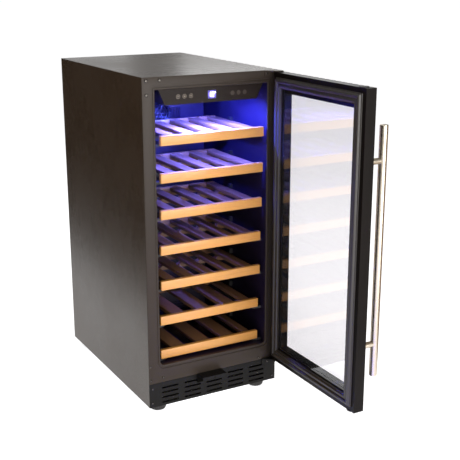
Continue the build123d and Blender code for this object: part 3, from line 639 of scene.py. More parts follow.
def mesh_piece(name, mesh, body, material, stands_for=(), sharp=35):
    """A finished piece from a mesh, with smooth shading between its sharp edges."""
    mesh.name = name
    mesh.materials.clear()
    mesh.materials.append(finish(material))
    mesh.shade_smooth()
    mesh.set_sharp_from_angle(angle=radians(sharp))
    piece = bpy.data.objects.new(name, mesh)
    bpy.context.scene.collection.objects.link(piece)
    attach(piece, body)
    if stands_for:
        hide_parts(*stands_for)
    return piece


def dress(node, material, rounding=0.0):
    """Gives a CAD node its finish, and softens its edges with modifiers."""
    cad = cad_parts[node]
    cad.data.materials.clear()
    cad.data.materials.append(finish(material))
    if rounding:
        weld = cad.modifiers.new("weld", "WELD")
        weld.merge_threshold = 0.00001
        bevel = cad.modifiers.new("edges", "BEVEL")
        bevel.width = rounding
        bevel.segments = 2
        bevel.limit_method = "ANGLE"
        bevel.angle_limit = radians(40)
        bevel.use_clamp_overlap = True


# ---------------------------------------------------------------- geometry nodes

def grown(name, inputs, build, points=((0, 0, 0),)):
    """Runs a Geometry Nodes tree on a mesh of points and returns its result as a plain mesh."""
    group = bpy.data.node_groups.new(name, "GeometryNodeTree")
    group.interface.new_socket("Geometry", in_out="INPUT", socket_type="NodeSocketGeometry")
    group.interface.new_socket("Geometry", in_out="OUTPUT", socket_type="NodeSocketGeometry")
    kinds = {float: "NodeSocketFloat", int: "NodeSocketInt", tuple: "NodeSocketVector",
             bpy.types.Object: "NodeSocketObject"}
    sockets = {}
    for label, value in inputs.items():
        sockets[label] = group.interface.new_socket(label, in_out="INPUT", socket_type=kinds[type(value)])
    tree = Tree(group)
    start = group.nodes.new("NodeGroupInput")
    end = group.nodes.new("NodeGroupOutput")
    named = {label: Value(tree, start.outputs[label]) for label in ["Geometry", *inputs]}
    result = build(tree, named)
    result = tree.node("GeometryNodeRealizeInstances", {}, {"Geometry": result})
    result = tree.node("GeometryNodeSetMaterial", {}, {"Geometry": result})
    group.links.new(result.socket, end.inputs[0])

    base = bpy.data.meshes.new(name)
    base.from_pydata([tuple(p) for p in points], [], [])
    holder = bpy.data.objects.new(name, base)
    bpy.context.scene.collection.objects.link(holder)
    modifier = holder.modifiers.new(name, "NODES")
    modifier.node_group = group
    for label, value in inputs.items():
        modifier[sockets[label].identifier] = value
    depsgraph = bpy.context.evaluated_depsgraph_get()
    mesh = bpy.data.meshes.new_from_object(holder.evaluated_get(depsgraph))
    holder.modifiers.remove(modifier)
    bpy.data.objects.remove(holder)
    bpy.data.meshes.remove(base)
    return mesh


def template(name, bm):
    """A shape for Geometry Nodes to repeat. It is removed once used."""
    mesh = bpy.data.meshes.new(name)
    bm.to_mesh(mesh)
    bm.free()
    shape = bpy.data.objects.new(name, mesh)
    bpy.context.scene.collection.objects.link(shape)
    return shape


def scattered(name, shape, points):
    """The shape repeated on each point."""
    def build(tree, named):
        source = tree.node("GeometryNodeObjectInfo", {}, {"Object": named["Shape"]}, out="Geometry")
        return tree.node("GeometryNodeInstanceOnPoints", {},
                         {"Points": named["Geometry"], "Instance": source, "Scale": named["Size"]})

    mesh = grown(name, {"Shape": shape, "Size": (1.0, 1.0, 1.0)}, build, points)
    bpy.data.objects.remove(shape)
    return mesh


def ring_set(name, centre, count, first, step, wire):
    """Concentric wire rings that lie square to the Y axis."""
    def build(tree, named):
        line = tree.node("GeometryNodeMeshLine", {"mode": "OFFSET"},
                         {"Count": named["Rings"], "Offset": (0, 0, 0), "Start Location": named["Centre"]})
        index = tree.node("GeometryNodeInputIndex")
        size = index * named["Step"] + named["First radius"]
        circle = tree.node("GeometryNodeCurvePrimitiveCircle", {}, {"Resolution": 48, "Radius": 1.0})
        placed = tree.node("GeometryNodeInstanceOnPoints", {},
                           {"Points": line, "Instance": circle, "Scale": size, "Rotation": (pi / 2, 0, 0)})
        curves = tree.node("GeometryNodeRealizeInstances", {}, {"Geometry": placed})
        section = tree.node("GeometryNodeCurvePrimitiveCircle", {},
                            {"Resolution": 8, "Radius": named["Wire"]})
        return tree.node("GeometryNodeCurveToMesh", {}, {"Curve": curves, "Profile Curve": section})

    inputs = {"Rings": count, "Centre": centre, "First radius": first, "Step": step, "Wire": wire}
    return grown(name, inputs, build)


# ---------------------------------------------------------------- operators

class CoolerOperator:
    """What every operator here shares."""
    bl_options = {"REGISTER"}

    def execute(self, context):
        self.make(settings(context))
        return {"FINISHED"}


class COOLER_OT_shell(CoolerOperator, bpy.types.Operator):
    """Paint the side, top and back panels and the sheet metal underneath"""
    bl_idname = "cooler.shell"
    bl_label = "Outer shell"

    def make(self, s):
        for node in ("side_panel_left", "side_panel_right", "top_panel"):
            dress(node, "panel_paint", SHEET_EDGE)
        dress("back_panel", "panel_paint")
        for node in ("base_pan", "rear_bulkhead"):
            dress(node, "zinc_sheet")
        dress("foam_insulation", "foam")


def rounded_loop(half, z0, z1, y, low_r, high_r, steps=8):
    """A loop round a rectangle that faces the front, with one radius low down and another at the top."""
    points = []
    corners = ((half, z0, low_r, -90), (half, z1, high_r, 0),
               (-half, z1, high_r, 90), (-half, z0, low_r, 180))
    for x, z, r, start in corners:
        cx = x - r if x > 0 else x + r
        cz = z + r if z == z0 else z - r
        for i in range(steps + 1):
            angle = radians(start + 90 * i / steps)
            points.append(Vector((cx + r * cos(angle), y, cz + r * sin(angle))))
    return points


class COOLER_OT_front(CoolerOperator, bpy.types.Operator):
    """Press the face frame with its rolled lip, and the louvred kick plate"""
    bl_idname = "cooler.front"
    bl_label = "Face frame and kick plate"

    STILE = 33 * MM
    SILL = 47 * MM
    HEAD = 31 * MM
    OUTER_CORNER = 1 * MM
    FLOOR_CORNER = 12 * MM
    ROOF_CORNER = 0.3 * MM
    # The rolled outer edge: distance in from it, distance back from the front
    EDGE = ((0.0, 0.7), (0.2, 0.2), (0.7, 0.0))
    # The lip: distance out from the opening, distance back from the front
    LIP = ((9.5, 0.0), (9.0, 1.6), (5.5, 1.6), (5.0, 0.2), (4.2, 0.0), (1.2, 0.0), (0.3, 0.4), (0.0, 1.2),
           (0.0, 2.0))
    # The louvres: their places, and the section of one hood as distance back and height
    COLUMNS = (-130.5, -65.0, 0.0, 65.0, 130.5)
    ROWS = (72.0, 58.5, 45.0, 31.5)
    HOOD = ((2.0, 3.4), (4.0, 3.0), (6.2, 1.4), (7.4, -1.2), (7.0, -1.6), (5.6, 0.8), (3.7, 2.2), (2.0, 2.5))
    HOOD_WIDTH = 48

    def make(self, s):
        half = FACE_HIGH.x
        back = FACE_HIGH.y
        mouth = half - self.STILE
        floor, roof = FACE_LOW.z + self.SILL, FACE_HIGH.z - self.HEAD
        outer = [(0.0, back), *metres(self.EDGE)]
        loops = [rounded_loop(half - inset, FACE_LOW.z + inset, FACE_HIGH.z - inset, y,
                              self.OUTER_CORNER, self.OUTER_CORNER)
                 for inset, y in outer]
        for out, y in metres(self.LIP):
            loops.append(rounded_loop(mouth + out, floor - out, roof + out, y,
                                      self.FLOOR_CORNER + out, self.ROOF_CORNER + out))
        bm = bmesh.new()
        add_loops(bm, loops, close=True)
        as_piece("face_frame_pressed", bm, "cabinet", "front_paint", ["face_frame"])
        dress("kick_plate", "kick_paint")
        hood = bmesh.new()
        end = -self.HOOD_WIDTH / 2 * MM
        add_prism(hood, metres(self.HOOD), lambda y, z: Vector((end, y, z)), self.HOOD_WIDTH * MM, (1, 0, 0))
        points = [(x * MM, 0, z * MM) for x in self.COLUMNS for z in self.ROWS]
        mesh = scattered("louvre_hoods", template("hood", hood), points)
        mesh_piece("louvre_hoods", mesh, "cabinet", "kick_paint")


class COOLER_OT_screws(CoolerOperator, bpy.types.Operator):
    """Drive the pan-head screws of the face frame, kick plate and back panel"""
    bl_idname = "cooler.screws"
    bl_label = "Screws"

    # Each set: places (x, z), head radius, head height, and how far it stands in front of the frame
    FRONT = {
        "frame": (((-179, 866), (-144, 866), (-179, 832)), 4.4, 2.4, 0.0),
        "lower": (((-186, 137), (-185.5, 99), (-150, 101), (137, 94.6)), 3.0, 2.0, 0.0),
        "kick": (((-181, 74), (-182, 34), (181, 33), (134, 51.7)), 2.6, 1.6, 0.0),
        "bracket": (((154, 867), (163, 79.7)), 2.6, 1.5, 2.4),
    }
    BACK = (((-178, 40), (178, 40), (-178, 450), (178, 450), (-178, 860), (178, 860)), 3.4, 1.9)

    @staticmethod
    def head(radius, height, facing):
        """A domed head with a cross recess, standing on the XZ plane."""
        bm = bmesh.new()
        dome = [(radius, 0), (radius, height * 0.3), (radius * 0.94, height * 0.55),
                (radius * 0.78, height * 0.8), (radius * 0.5, height * 0.96), (radius * 0.3, height)]
        add_lathe(bm, dome, (0, 0, 0), (0, facing, 0), 24)
        bar = radius * 0.5
        for wide, tall in ((bar, bar * 0.26), (bar * 0.26, bar)):
            ys = sorted((facing * height * 0.5, facing * height * 1.02))
            add_box(bm, (-wide, ys[0], -tall), (wide, ys[1], tall), 0)
        return bm

    def make(self, s):
        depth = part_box("back_panel")[1].y
        whole = bmesh.new()
        sets = [(label, places, radius, height, -1, -stand * MM)
                for label, (places, radius, height, stand) in self.FRONT.items()]
        sets.append(("back", *self.BACK, 1, depth))
        for label, places, radius, height, facing, y in sets:
            shape = template("head", self.head(radius * MM, height * MM, facing))
            mesh = scattered(f"{label}_screws", shape, [(x * MM, y, z * MM) for x, z in places])
            whole.from_mesh(mesh)
            bpy.data.meshes.remove(mesh)
        as_piece("pan_head_screws", whole, "cabinet", "screw_black", ["cabinet_screws"])


class COOLER_OT_interior(CoolerOperator, bpy.types.Operator):
    """Finish the liner, the shelf ledges, the cold air cover and the fan behind it"""
    bl_idname = "cooler.interior"
    bl_label = "Interior"

    # The fan guard's wire rings, flat spokes and domed hub
    RINGS = 5
    FIRST_RING = 10
    RING_STEP = 7.2
    WIRE = 1.0
    SPOKES = 6
    SPOKE_REACH = 38.5
    SPOKE_HALF = 0.9
    SPOKE_EDGE = 0.4
    HUB = ((5, 0), (5, 1.2), (3.5, 2))

    def make(self, s):
        dress("inner_liner", "liner_plastic")
        dress("shelf_supports", "black_plastic", LEDGE_EDGE)
        dress("evaporator_cover", "liner_plastic")
        dress("evaporator_fan_motor", "black_plastic")
        dress("evaporator_fan", "black_plastic")
        dress("evaporator_coil", "coil_aluminium")
        low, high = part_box("fan_guard")
        centre = ((low.x + high.x) / 2, (low.y + high.y) / 2, (low.z + high.z) / 2)
        mesh = ring_set("guard_rings", centre, self.RINGS, self.FIRST_RING * MM, self.RING_STEP * MM,
                        self.WIRE * MM)
        bm = bmesh.new()
        bm.from_mesh(mesh)
        bpy.data.meshes.remove(mesh)
        y0, y1 = low.y, high.y
        side = self.SPOKE_HALF * MM
        for i in range(self.SPOKES):
            spoke = bmesh.new()
            add_box(spoke, (0, y0, -side), (self.SPOKE_REACH * MM, y1, side), self.SPOKE_EDGE * MM)
            turn = Matrix.Rotation(tau * i / self.SPOKES, 3, "Y")
            bmesh.ops.rotate(spoke, cent=(0, 0, 0), matrix=turn, verts=spoke.verts)
            bmesh.ops.translate(spoke, vec=(centre[0], 0, centre[2]), verts=spoke.verts)
            join(bm, spoke)
        add_lathe(bm, metres(self.HUB), (centre[0], y1, centre[2]), (0, -1, 0), 24)
        as_piece("fan_guard_wires", bm, "cabinet", "liner_plastic", ["fan_guard"])


# The lit segments of each digit
SEGMENTS = {0: "abcdef", 1: "bc", 2: "abged", 3: "abgcd", 4: "fgbc", 5: "afgcd", 6: "afgedc", 7: "abc",
            8: "abcdefg", 9: "abcdfg"}


class COOLER_OT_controls(CoolerOperator, bpy.types.Operator):
    """Build the control panel: tinted glass, lit display, touch pads and the light strip"""
    bl_idname = "cooler.controls"
    bl_label = "Control panel"

    # Width, height and stroke of a digit, and how far the strokes stand out, part and round over
    DIGIT = (6.4, 11.5, 1.9)
    STROKE_HEIGHT = 0.25
    STROKE_GAP = 0.25
    STROKE_EDGE = 0.08
    # Places from the middle of the display, and the radius of the round mark
    TENS_X = -6.0
    UNITS_X = 2.0
    MARK = (8.6, 4.6)
    MARK_R = 1.5
    # The left touch pads: how far out the first is, their spacing, and the printed ring's edges
    PAD_COUNT = 3
    FIRST_PAD = 58
    PAD_STEP = 17.5
    RING_OUT = 0.98
    RING_IN = 0.90
    RING_SIDES = 40
    PRINT_HEIGHT = 0.1
    # The printed signs: a pad, counted outwards, and an outline on it
    SIGNS = (
        (2, ((-2.2, -0.5), (2.2, -0.5), (2.2, 0.1), (-2.2, 0.1))),
        (2, ((-0.3, 0.2), (0.3, 0.2), (0.3, 2.2), (-0.3, 2.2))),
        (1, ((-2.0, -1.3), (2.0, -1.3), (0, 1.8))),
        (0, ((-2.0, 1.3), (0, -1.8), (2.0, 1.3))),
    )

    def digit(self, bm, number, x, z, front):
        """One seven-segment digit, centred on a point of the display."""
        w, h, t = (v * MM for v in self.DIGIT)
        w2, h2, t2, gap = w / 2, h / 2, t / 2, self.STROKE_GAP * MM
        bars = {
            "a": (-w2 + gap, h2 - t, w2 - gap, h2), "g": (-w2 + gap, -t2, w2 - gap, t2),
            "d": (-w2 + gap, -h2, w2 - gap, -h2 + t),
            "f": (-w2, gap, -w2 + t, h2 - gap), "b": (w2 - t, gap, w2, h2 - gap),
            "e": (-w2, -h2 + gap, -w2 + t, -gap), "c": (w2 - t, -h2 + gap, w2, -gap),
        }
        for key in SEGMENTS[number]:
            x0, z0, x1, z1 = bars[key]
            add_box(bm, (x + x0, front - self.STROKE_HEIGHT * MM, z + z0), (x + x1, front, z + z1),
                    self.STROKE_EDGE * MM, 1)

    def make(self, s):
        dress("control_glass", "panel_glass")
        dress("control_housing", "black_plastic")
        dress("display_window", "display_window")
        dress("led_strip", "light_lens")
        dress("touch_pads", "pad_glass")
        front = DISPLAY_LOW.y
        middle = (DISPLAY_LOW + DISPLAY_HIGH) / 2
        bm = bmesh.new()
        self.digit(bm, s.glow.tens, middle.x + self.TENS_X * MM, middle.z, front)
        self.digit(bm, s.glow.units, middle.x + self.UNITS_X * MM, middle.z, front)
        mark = Vector((middle.x + self.MARK[0] * MM, front, middle.z + self.MARK[1] * MM))
        add_lathe(bm, metres([(self.MARK_R, 0), (self.MARK_R, self.STROKE_HEIGHT)]), mark, (0, -1, 0), 20)
        as_piece("display_digits", bm, "cabinet", "digit_glow")
        self.pads()

    def pads(self):
        """A thin printed ring and a simple sign on each of the left touch pads."""
        low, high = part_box("touch_pads")
        front = low.y
        z = (low.z + high.z) / 2
        radius = (high.z - low.z) / 2
        raised = front - self.PRINT_HEIGHT * MM
        ring = ((self.RING_OUT, front), (self.RING_OUT, raised),
                (self.RING_IN, raised), (self.RING_IN, front))
        angles = [tau * i / self.RING_SIDES for i in range(self.RING_SIDES)]
        xs = [-(self.FIRST_PAD + self.PAD_STEP * i) * MM for i in range(self.PAD_COUNT)]
        bm = bmesh.new()
        for x in xs:
            loops = [[Vector((x + radius * share * cos(a), y, z + radius * share * sin(a))) for a in angles]
                     for share, y in ring]
            add_loops(bm, loops, close=True)
        for pad, outline in self.SIGNS:
            add_prism(bm, metres(outline), lambda u, v: Vector((xs[pad] + u, front, z + v)),
                      self.PRINT_HEIGHT * MM, (0, -1, 0))
        as_piece("pad_signs", bm, "cabinet", "pad_print")


class COOLER_OT_shelves(CoolerOperator, bpy.types.Operator):
    """Join the beech shelves: fascia, slats, scalloped cross rail and back board"""
    bl_idname = "cooler.shelves"
    bl_label = "Shelves"

    # Slats of the upper and the two lower shelves: middle, width
    UPPER = ((-113.0, 28.0), (-57.0, 28.0), (0.0, 28.0), (57.0, 28.0), (113.0, 28.0))
    LOWER = ((-91.0, 38.0), (-16.0, 40.0), (58.0, 40.0), (115.5, 23.0))
    LOWER_COUNT = 2
    SLAT_DROP = 1.0
    LOWER_SLAT_DROP = 1.5
    # Distances back from the shelf's front: the fascia, the cross rail and the back board
    FASCIA = 12.0
    RAIL_Y = 152.0
    RAIL_THICK = 16.0
    BOARD = (224.0, 236.0)
    FRAME_BOTTOM = 24.0
    HALF = 127.0
    SCALLOP_R = 20.0
    SCALLOP_STEPS = 12
    THICK = 10.0
    GAP = 0.1
    # Share of the edge rounding that the slats and the board have
    SOFTER = 0.8

    def make(self, s):
        for number in range(1, SHELF_COUNT + 1):
            self.shelf(number, s.wood)

    def shelf(self, number, wood):
        body = f"shelf_{number}"
        low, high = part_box(f"shelf_{number}_fascia")
        bm = bmesh.new()
        add_box(bm, low, high, wood.edge, 3)
        as_piece(f"{body}_front", bm, body, "beech_across", [f"shelf_{number}_fascia"])
        front, top = low.y, high.z
        lower = number > SHELF_COUNT - self.LOWER_COUNT
        slats = self.LOWER if lower else self.UPPER
        slat_top = top - (self.LOWER_SLAT_DROP if lower else self.SLAT_DROP) * MM
        slat_low = slat_top - self.THICK * MM
        start = front + self.FASCIA * MM
        board, back = (front + v * MM for v in self.BOARD)
        edge = wood.edge * self.SOFTER
        deep = bmesh.new()
        for width in sorted({w for _, w in slats}):
            places = [(x * MM, 0, 0) for x, w in slats if w == width]
            half = width * MM / 2
            slat = bmesh.new()
            add_box(slat, (-half, start, slat_low), (half, board - self.GAP * MM, slat_top), edge)
            mesh = scattered("slats", template("slat", slat), places)
            deep.from_mesh(mesh)
            bpy.data.meshes.remove(mesh)
        # Painted shade: the slats take the darkened slat beech.
        as_piece(f"{body}_slats", deep, body, "shaded_beech_deep", [f"shelf_{number}_frame"])
        cross = bmesh.new()
        base = top - self.FRAME_BOTTOM * MM
        add_box(cross, (-self.HALF * MM, board, base), (self.HALF * MM, back, top), edge)
        if not lower:
            self.rail(cross, slats, front, base, slat_top, wood.scallop)
        # Painted shade: the rails and back board take the darkened slat beech.
        as_piece(f"{body}_rails", cross, body, "shaded_beech_rail")

    def rail(self, bm, slats, front, base, slat_top, scallop):
        """The cross rail under the slats, with a scalloped bottle rest in each gap between them."""
        r = self.SCALLOP_R * MM
        level = slat_top - (self.THICK + self.GAP) * MM
        axis = slat_top - scallop + r
        reach = (r * r - (axis - level) ** 2) ** 0.5
        half = self.HALF * MM
        outline = [(-half, base), (half, base), (half, level)]
        for left, right in reversed(list(zip(slats, slats[1:]))):
            centre = (left[0] + right[0]) / 2 * MM
            for i in range(self.SCALLOP_STEPS + 1):
                away = reach * (1 - 2 * i / self.SCALLOP_STEPS)
                outline.append((centre + away, axis - (r * r - away * away) ** 0.5))
        outline.append((-half, level))
        y = front + self.RAIL_Y * MM
        add_prism(bm, outline, lambda u, v: Vector((u, y, v)), self.RAIL_THICK * MM, (0, 1, 0))


class COOLER_OT_door(CoolerOperator, bpy.types.Operator):
    """Hang the door: mitred frame, ribbed gasket, panes and spacer"""
    bl_idname = "cooler.door"
    bl_label = "Door"

    # Gasket section: distance in from the door's edge, height above the door's inner face
    SECTION = ((12, 0), (12, 2.2), (12.6, 3.0), (14.5, 3.3), (15.2, 5.0), (15.7, 7.8), (17.0, 9.2),
               (19.5, 9.6), (22.0, 9.2), (23.3, 7.6), (24.0, 5.4), (25.5, 4.6), (27.4, 5.5), (29.4, 7.2),
               (31.6, 7.8), (33.6, 7.1), (34.9, 5.0), (35.6, 3.1), (38, 2.4), (38, 0))

    def make(self, s):
        dress("door_frame", "door_paint", DOOR_EDGE)
        dress("inner_glass", "door_pane")
        dress("outer_glass", "door_pane")
        dress("glass_spacer", "spacer_metal")
        loops = []
        for inset, height in self.SECTION:
            inset *= MM
            x = DOOR_LOW.x - height * MM
            y0, y1 = DOOR_LOW.y + inset, DOOR_HIGH.y - inset
            z0, z1 = DOOR_LOW.z + inset, DOOR_HIGH.z - inset
            loops.append([Vector((x, y0, z0)), Vector((x, y1, z0)), Vector((x, y1, z1)), Vector((x, y0, z1))])
        bm = bmesh.new()
        add_loops(bm, loops, close=True)
        as_piece("gasket_ribbed", bm, "door", "gasket_rubber", ["door_gasket"], 50)


class COOLER_OT_handle(CoolerOperator, bpy.types.Operator):
    """Fit the polished bar handle, its standoffs and their screws"""
    bl_idname = "cooler.handle"
    bl_label = "Handle"

    TUBE_EDGE = 1.2 * MM
    EDGE_STEPS = 4
    # The standoffs: the wide collar, where its slope ends, how much it steps in, and the gap to the tube
    COLLAR = 1.2 * MM
    SLOPE_END = 1.8 * MM
    STEP_IN = 0.5 * MM
    POST_GAP = 0.5 * MM

    def make(self, s):
        x = (HANDLE_LOW.x + HANDLE_HIGH.x) / 2
        y = (HANDLE_LOW.y + HANDLE_HIGH.y) / 2
        r = (HANDLE_HIGH.x - HANDLE_LOW.x) / 2
        length = HANDLE_HIGH.z - HANDLE_LOW.z
        edge = self.TUBE_EDGE
        angles = [pi / 2 * i / self.EDGE_STEPS for i in range(self.EDGE_STEPS + 1)]
        arc = [(r - edge + edge * sin(a), edge - edge * cos(a)) for a in angles]
        profile = arc + [(rr, length - h) for rr, h in arc[::-1]]
        bm = bmesh.new()
        add_lathe(bm, profile, (x, y, HANDLE_LOW.z), (0, 0, 1), 48)
        as_piece("handle_tube", bm, "door", "handle_steel", ["handle_bar"])
        low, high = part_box("handle_standoffs")
        reach = high.x - low.x - self.POST_GAP
        radius = (high.y - low.y) / 2
        neck = radius - self.STEP_IN
        post = [(radius, 0), (radius, self.COLLAR), (neck, self.SLOPE_END), (neck, reach)]
        bm = bmesh.new()
        for z in (low.z + radius, high.z - radius):
            add_lathe(bm, post, (low.x, y, z), (1, 0, 0), 32)
        as_piece("handle_posts", bm, "door", "handle_steel", ["handle_standoffs"])
        dress("handle_screws", "zinc_sheet")


class COOLER_OT_hinges(CoolerOperator, bpy.types.Operator):
    """Finish the hinge brackets, bushes and plugs, and the keeper under the door"""
    bl_idname = "cooler.hinges"
    bl_label = "Hinges and keeper"

    # A plug: shares of its radius, and heights from the bottom of its stem
    PLUG = ((0.3, 0), (0.55, 0), (0.55, 8), (1.0, 8.1), (1.0, 9.2), (0.93, 10.1), (0.7, 10.45),
            (0.42, 10.5), (0.36, 10.0), (0.1, 9.9))
    STEM = 8 * MM

    def make(self, s):
        dress("hinge_bracket_top", "front_paint", SHEET_EDGE)
        for node in ("hinge_bracket_bottom", "door_keeper"):
            dress(node, "kick_paint", SHEET_EDGE)
        dress("hinge_bushes", "black_plastic")
        low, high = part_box("hinge_hole_plugs")
        r = (high.x - low.x) / 2
        x, y = (low.x + high.x) / 2, (low.y + high.y) / 2
        bm = bmesh.new()
        cap = [(share * r, height * MM) for share, height in self.PLUG]
        add_lathe(bm, cap, (x, y, DOOR_HIGH.z - self.STEM), (0, 0, 1), 36)
        add_lathe(bm, cap, (x, y, DOOR_LOW.z + self.STEM), (0, 0, -1), 36)
        as_piece("hole_plugs", bm, "door", "black_plastic", ["hinge_hole_plugs"])


class COOLER_OT_feet(CoolerOperator, bpy.types.Operator):
    """Turn the four levelling feet with their grip flutes and threaded studs"""
    bl_idname = "cooler.feet"
    bl_label = "Levelling feet"

    COUNT = 4
    CLEARANCE = 0.1 * MM
    FLUTES = 24
    FLUTE_DEPTH = 1.0 * MM
    # The bevelled top of the skirt, and the sole's radius
    SHOULDER = ((12, 20), (9, 21.5))
    SOLE_R = 10 * MM
    # The stud: its root's radius and height, then the thread's heights, pitch, flank and two radii
    ROOT = (2.6, 21)
    THREAD_LOW = 21.4
    THREAD_TOP = 35
    PITCH = 1.0
    FLANK = 0.35
    CORE_R = 3.6
    CREST_R = 3.98

    def make(self, s):
        stud = [self.ROOT]
        height = self.THREAD_LOW
        while height < self.THREAD_TOP:
            stud += [(self.CORE_R, height), (self.CREST_R, height + self.FLANK),
                     (self.CORE_R, height + 2 * self.FLANK)]
            height += self.PITCH
        for number in range(1, self.COUNT + 1):
            node = f"levelling_foot_{number}"
            low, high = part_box(node)
            x, y = (low.x + high.x) / 2, (low.y + high.y) / 2
            r = (high.x - low.x) / 2 - self.CLEARANCE
            skirt = [(self.SOLE_R, 0), (0.87 * r, 0), (0.9 * r, 0.5 * MM), (r, 4 * MM), (r, 17 * MM),
                     (r - 0.8 * MM, 18.6 * MM), *metres(self.SHOULDER)]
            bm = bmesh.new()
            add_lathe(bm, skirt, (x, y, low.z), (0, 0, 1), 120, self.FLUTES, self.FLUTE_DEPTH)
            add_lathe(bm, metres(stud), (x, y, low.z), (0, 0, 1), 20)
            as_piece(f"foot_{number}_turned", bm, f"foot_{number}", "foot_plastic", [node])


class COOLER_OT_machinery(CoolerOperator, bpy.types.Operator):
    """Finish the compressor, condenser, fan, circuit board and inlet behind the back panel"""
    bl_idname = "cooler.machinery"
    bl_label = "Machinery"

    def make(self, s):
        dress("compressor", "compressor_paint")
        dress("compressor_mounts", "mount_rubber")
        dress("condenser_fan_frame", "black_plastic")
        dress("condenser_fan", "black_plastic")
        dress("main_board", "circuit_board")
        dress("power_inlet", "black_plastic")
        dress("condenser_coil", "compressor_paint")


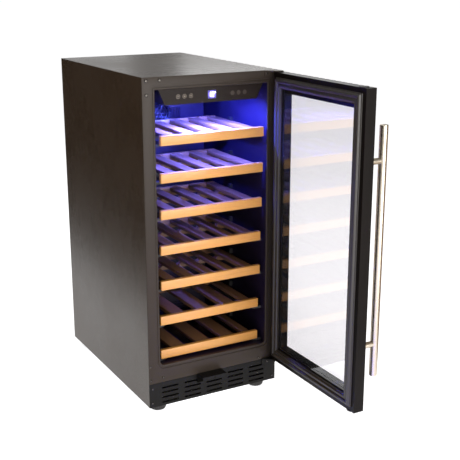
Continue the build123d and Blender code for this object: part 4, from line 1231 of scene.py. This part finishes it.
class COOLER_OT_stage(CoolerOperator, bpy.types.Operator):
    """Set the pale floor, the soft light, the light inside the cabinet and the camera"""
    bl_idname = "cooler.stage"
    bl_label = "Stage"

    # Cards: name, place across, front and back edge, height, colour
    CARDS = (("dark_card", -0.55, 0.1, 7.0, 4.0, (0.004, 0.004, 0.004)),
             ("brown_card", 0.62, -0.85, 3.0, 0.8, (0.30, 0.19, 0.10)))
    # Back lamps, which the camera doesn't see: name, place, width, power, height
    BACK_LAMPS = (("back_box", (1.4, 1.9, 1.55), 1.0, 4.5, 0.6),
                  ("back_wide", (-0.3, 3.2, 1.7), 3.2, 7.0, 1.0))
    # The lamp behind the light strip: gap below the strip, aim back and height, width, thickness
    STRIP_GAP = 1 * MM
    STRIP_AIM = (0.12, 0.1)
    STRIP_SIZE = (0.16, 0.012)
    FLOOR_HALF = 60
    FLOOR_GLOW = 0.74

    @staticmethod
    def area(name, place, target, size, power, colour=(1, 1, 1), tall=None):
        """An area lamp that faces a target. It is square unless its height is given."""
        lamp = bpy.data.lights.new(name, "AREA")
        lamp.shape = "RECTANGLE"
        lamp.size = size
        lamp.size_y = tall or size
        lamp.energy = power
        lamp.color = colour
        lamp_object = bpy.data.objects.new(name, lamp)
        lamp_object.location = place
        lamp_object.rotation_mode = "QUATERNION"
        lamp_object.rotation_quaternion = (Vector(target) - Vector(place)).to_track_quat("-Z", "Y")
        bpy.context.scene.collection.objects.link(lamp_object)
        return lamp_object

    def make(self, s):
        scene = bpy.context.scene
        scene.view_settings.view_transform = "Standard"
        world = bpy.data.worlds.new("studio")
        world.use_nodes = True
        background = world.node_tree.nodes["Background"].inputs
        background["Color"].default_value = (1, 1, 1, 1)
        background["Strength"].default_value = s.stage.sky
        scene.world = world
        self.floor()
        for card in self.CARDS:
            self.card(*card)
        self.area("front_box", (0.6, -3.3, 0.7), (0.1, 0, 0.5), 1.8, 100)
        for name, place, width, power, tall in self.BACK_LAMPS:
            lamp = self.area(name, place, (0.1, 0, 0.87), width, power, tall=tall)
            lamp.visible_camera = False
            lamp.visible_transmission = False
        self.area("top_box", (-0.3, 0.2, 3.0), (0, 0.2, 0.8), 1.6, 25)
        low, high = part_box("led_strip")
        strip = ((low.x + high.x) / 2, (low.y + high.y) / 2, low.z - self.STRIP_GAP)
        back, height = self.STRIP_AIM
        width, thickness = self.STRIP_SIZE
        self.area("cabinet_light", strip, (strip[0], strip[1] + back, height), width, s.glow.power,
                  colour_of(s.glow.colour), thickness)
        self.camera(s.stage)

    def floor(self):
        f = Finish("studio_floor")
        tone = f.mix(f.span(f.noise(0.6, 2), 0.3, 0.7), (0.93, 0.93, 0.93), (0.96, 0.96, 0.96))
        material = f.done(f.shader(Base_Color=tone, Roughness=0.9, Specular_IOR_Level=0.1,
                                   Emission_Color=(1, 1, 1), Emission_Strength=self.FLOOR_GLOW))
        bm = bmesh.new()
        bmesh.ops.create_grid(bm, x_segments=4, y_segments=4, size=self.FLOOR_HALF)
        mesh = bpy.data.meshes.new("floor")
        bm.to_mesh(mesh)
        bm.free()
        mesh.materials.append(material)
        floor = bpy.data.objects.new("floor", mesh)
        bpy.context.scene.collection.objects.link(floor)

    def card(self, name, x, y0, y1, z1, colour):
        """An upright studio card. Only reflections see it."""
        f = Finish(name)
        tone = f.mix(f.span(f.noise(3, 2), 0.3, 0.7), lighter(colour, 0.95), lighter(colour, 1.05))
        material = f.done(f.shader(Base_Color=tone, Roughness=1.0, Specular_IOR_Level=0.0))
        mesh = bpy.data.meshes.new(name)
        mesh.from_pydata([(x, y0, 0.002), (x, y1, 0.002), (x, y1, z1), (x, y0, z1)], [], [(0, 1, 2, 3)])
        mesh.materials.append(material)
        card = bpy.data.objects.new(name, mesh)
        bpy.context.scene.collection.objects.link(card)
        card.visible_camera = False
        card.visible_shadow = False
        card.visible_diffuse = False
        card.visible_transmission = False

    def camera(self, stage):
        data = bpy.data.cameras.new("camera")
        data.lens = stage.lens
        data.sensor_width = 36
        camera = bpy.data.objects.new("camera", data)
        camera.location = stage.camera
        level = cos(stage.tilt)
        look = Vector((sin(stage.heading) * level, cos(stage.heading) * level, -sin(stage.tilt)))
        camera.rotation_mode = "QUATERNION"
        camera.rotation_quaternion = look.to_track_quat("-Z", "Y")
        bpy.context.scene.collection.objects.link(camera)
        bpy.context.scene.camera = camera


class CoolerSettings(bpy.types.PropertyGroup):
    """All the settings of the wine cooler."""
    paint: PointerProperty(type=CoolerPaint, name="Paint", description="Paints and plastics")
    wood: PointerProperty(type=CoolerWood, name="Wood", description="Shelf wood")
    door: PointerProperty(type=CoolerDoor, name="Door", description="Door and handle")
    glow: PointerProperty(type=CoolerGlow, name="Light", description="Light and display")
    stage: PointerProperty(type=CoolerStage, name="Stage", description="Camera and studio")


class COOLER_PT_panel(bpy.types.Panel):
    """Lists the steps in the sidebar"""
    bl_idname = "COOLER_PT_panel"
    bl_label = "Wine Cooler"
    bl_space_type = "VIEW_3D"
    bl_region_type = "UI"
    bl_category = "Wine Cooler"

    def draw(self, context):
        for group in ("paint", "wood", "door", "glow", "stage"):
            box = self.layout.box()
            values = getattr(settings(context), group)
            for name in values.__annotations__:
                box.prop(values, name)
        for step in STEPS:
            self.layout.operator(step.bl_idname)


STEPS = (COOLER_OT_stage, COOLER_OT_shell, COOLER_OT_front, COOLER_OT_screws, COOLER_OT_interior,
         COOLER_OT_controls, COOLER_OT_shelves, COOLER_OT_door, COOLER_OT_handle, COOLER_OT_hinges,
         COOLER_OT_feet, COOLER_OT_machinery)
GROUPS = (CoolerPaint, CoolerWood, CoolerDoor, CoolerGlow, CoolerStage, CoolerSettings)


def register():
    for item in (*GROUPS, *STEPS, COOLER_PT_panel):
        bpy.utils.register_class(item)
    bpy.types.Scene.wine_cooler = PointerProperty(type=CoolerSettings, name="Wine cooler",
                                                  description="Settings of the wine cooler")


def unregister():
    del bpy.types.Scene.wine_cooler
    for item in reversed((*GROUPS, *STEPS, COOLER_PT_panel)):
        bpy.utils.unregister_class(item)


def main():
    register()
    for step in STEPS:
        family, name = step.bl_idname.split(".")
        getattr(getattr(bpy.ops, family), name)()


if __name__ == "__main__":
    main()
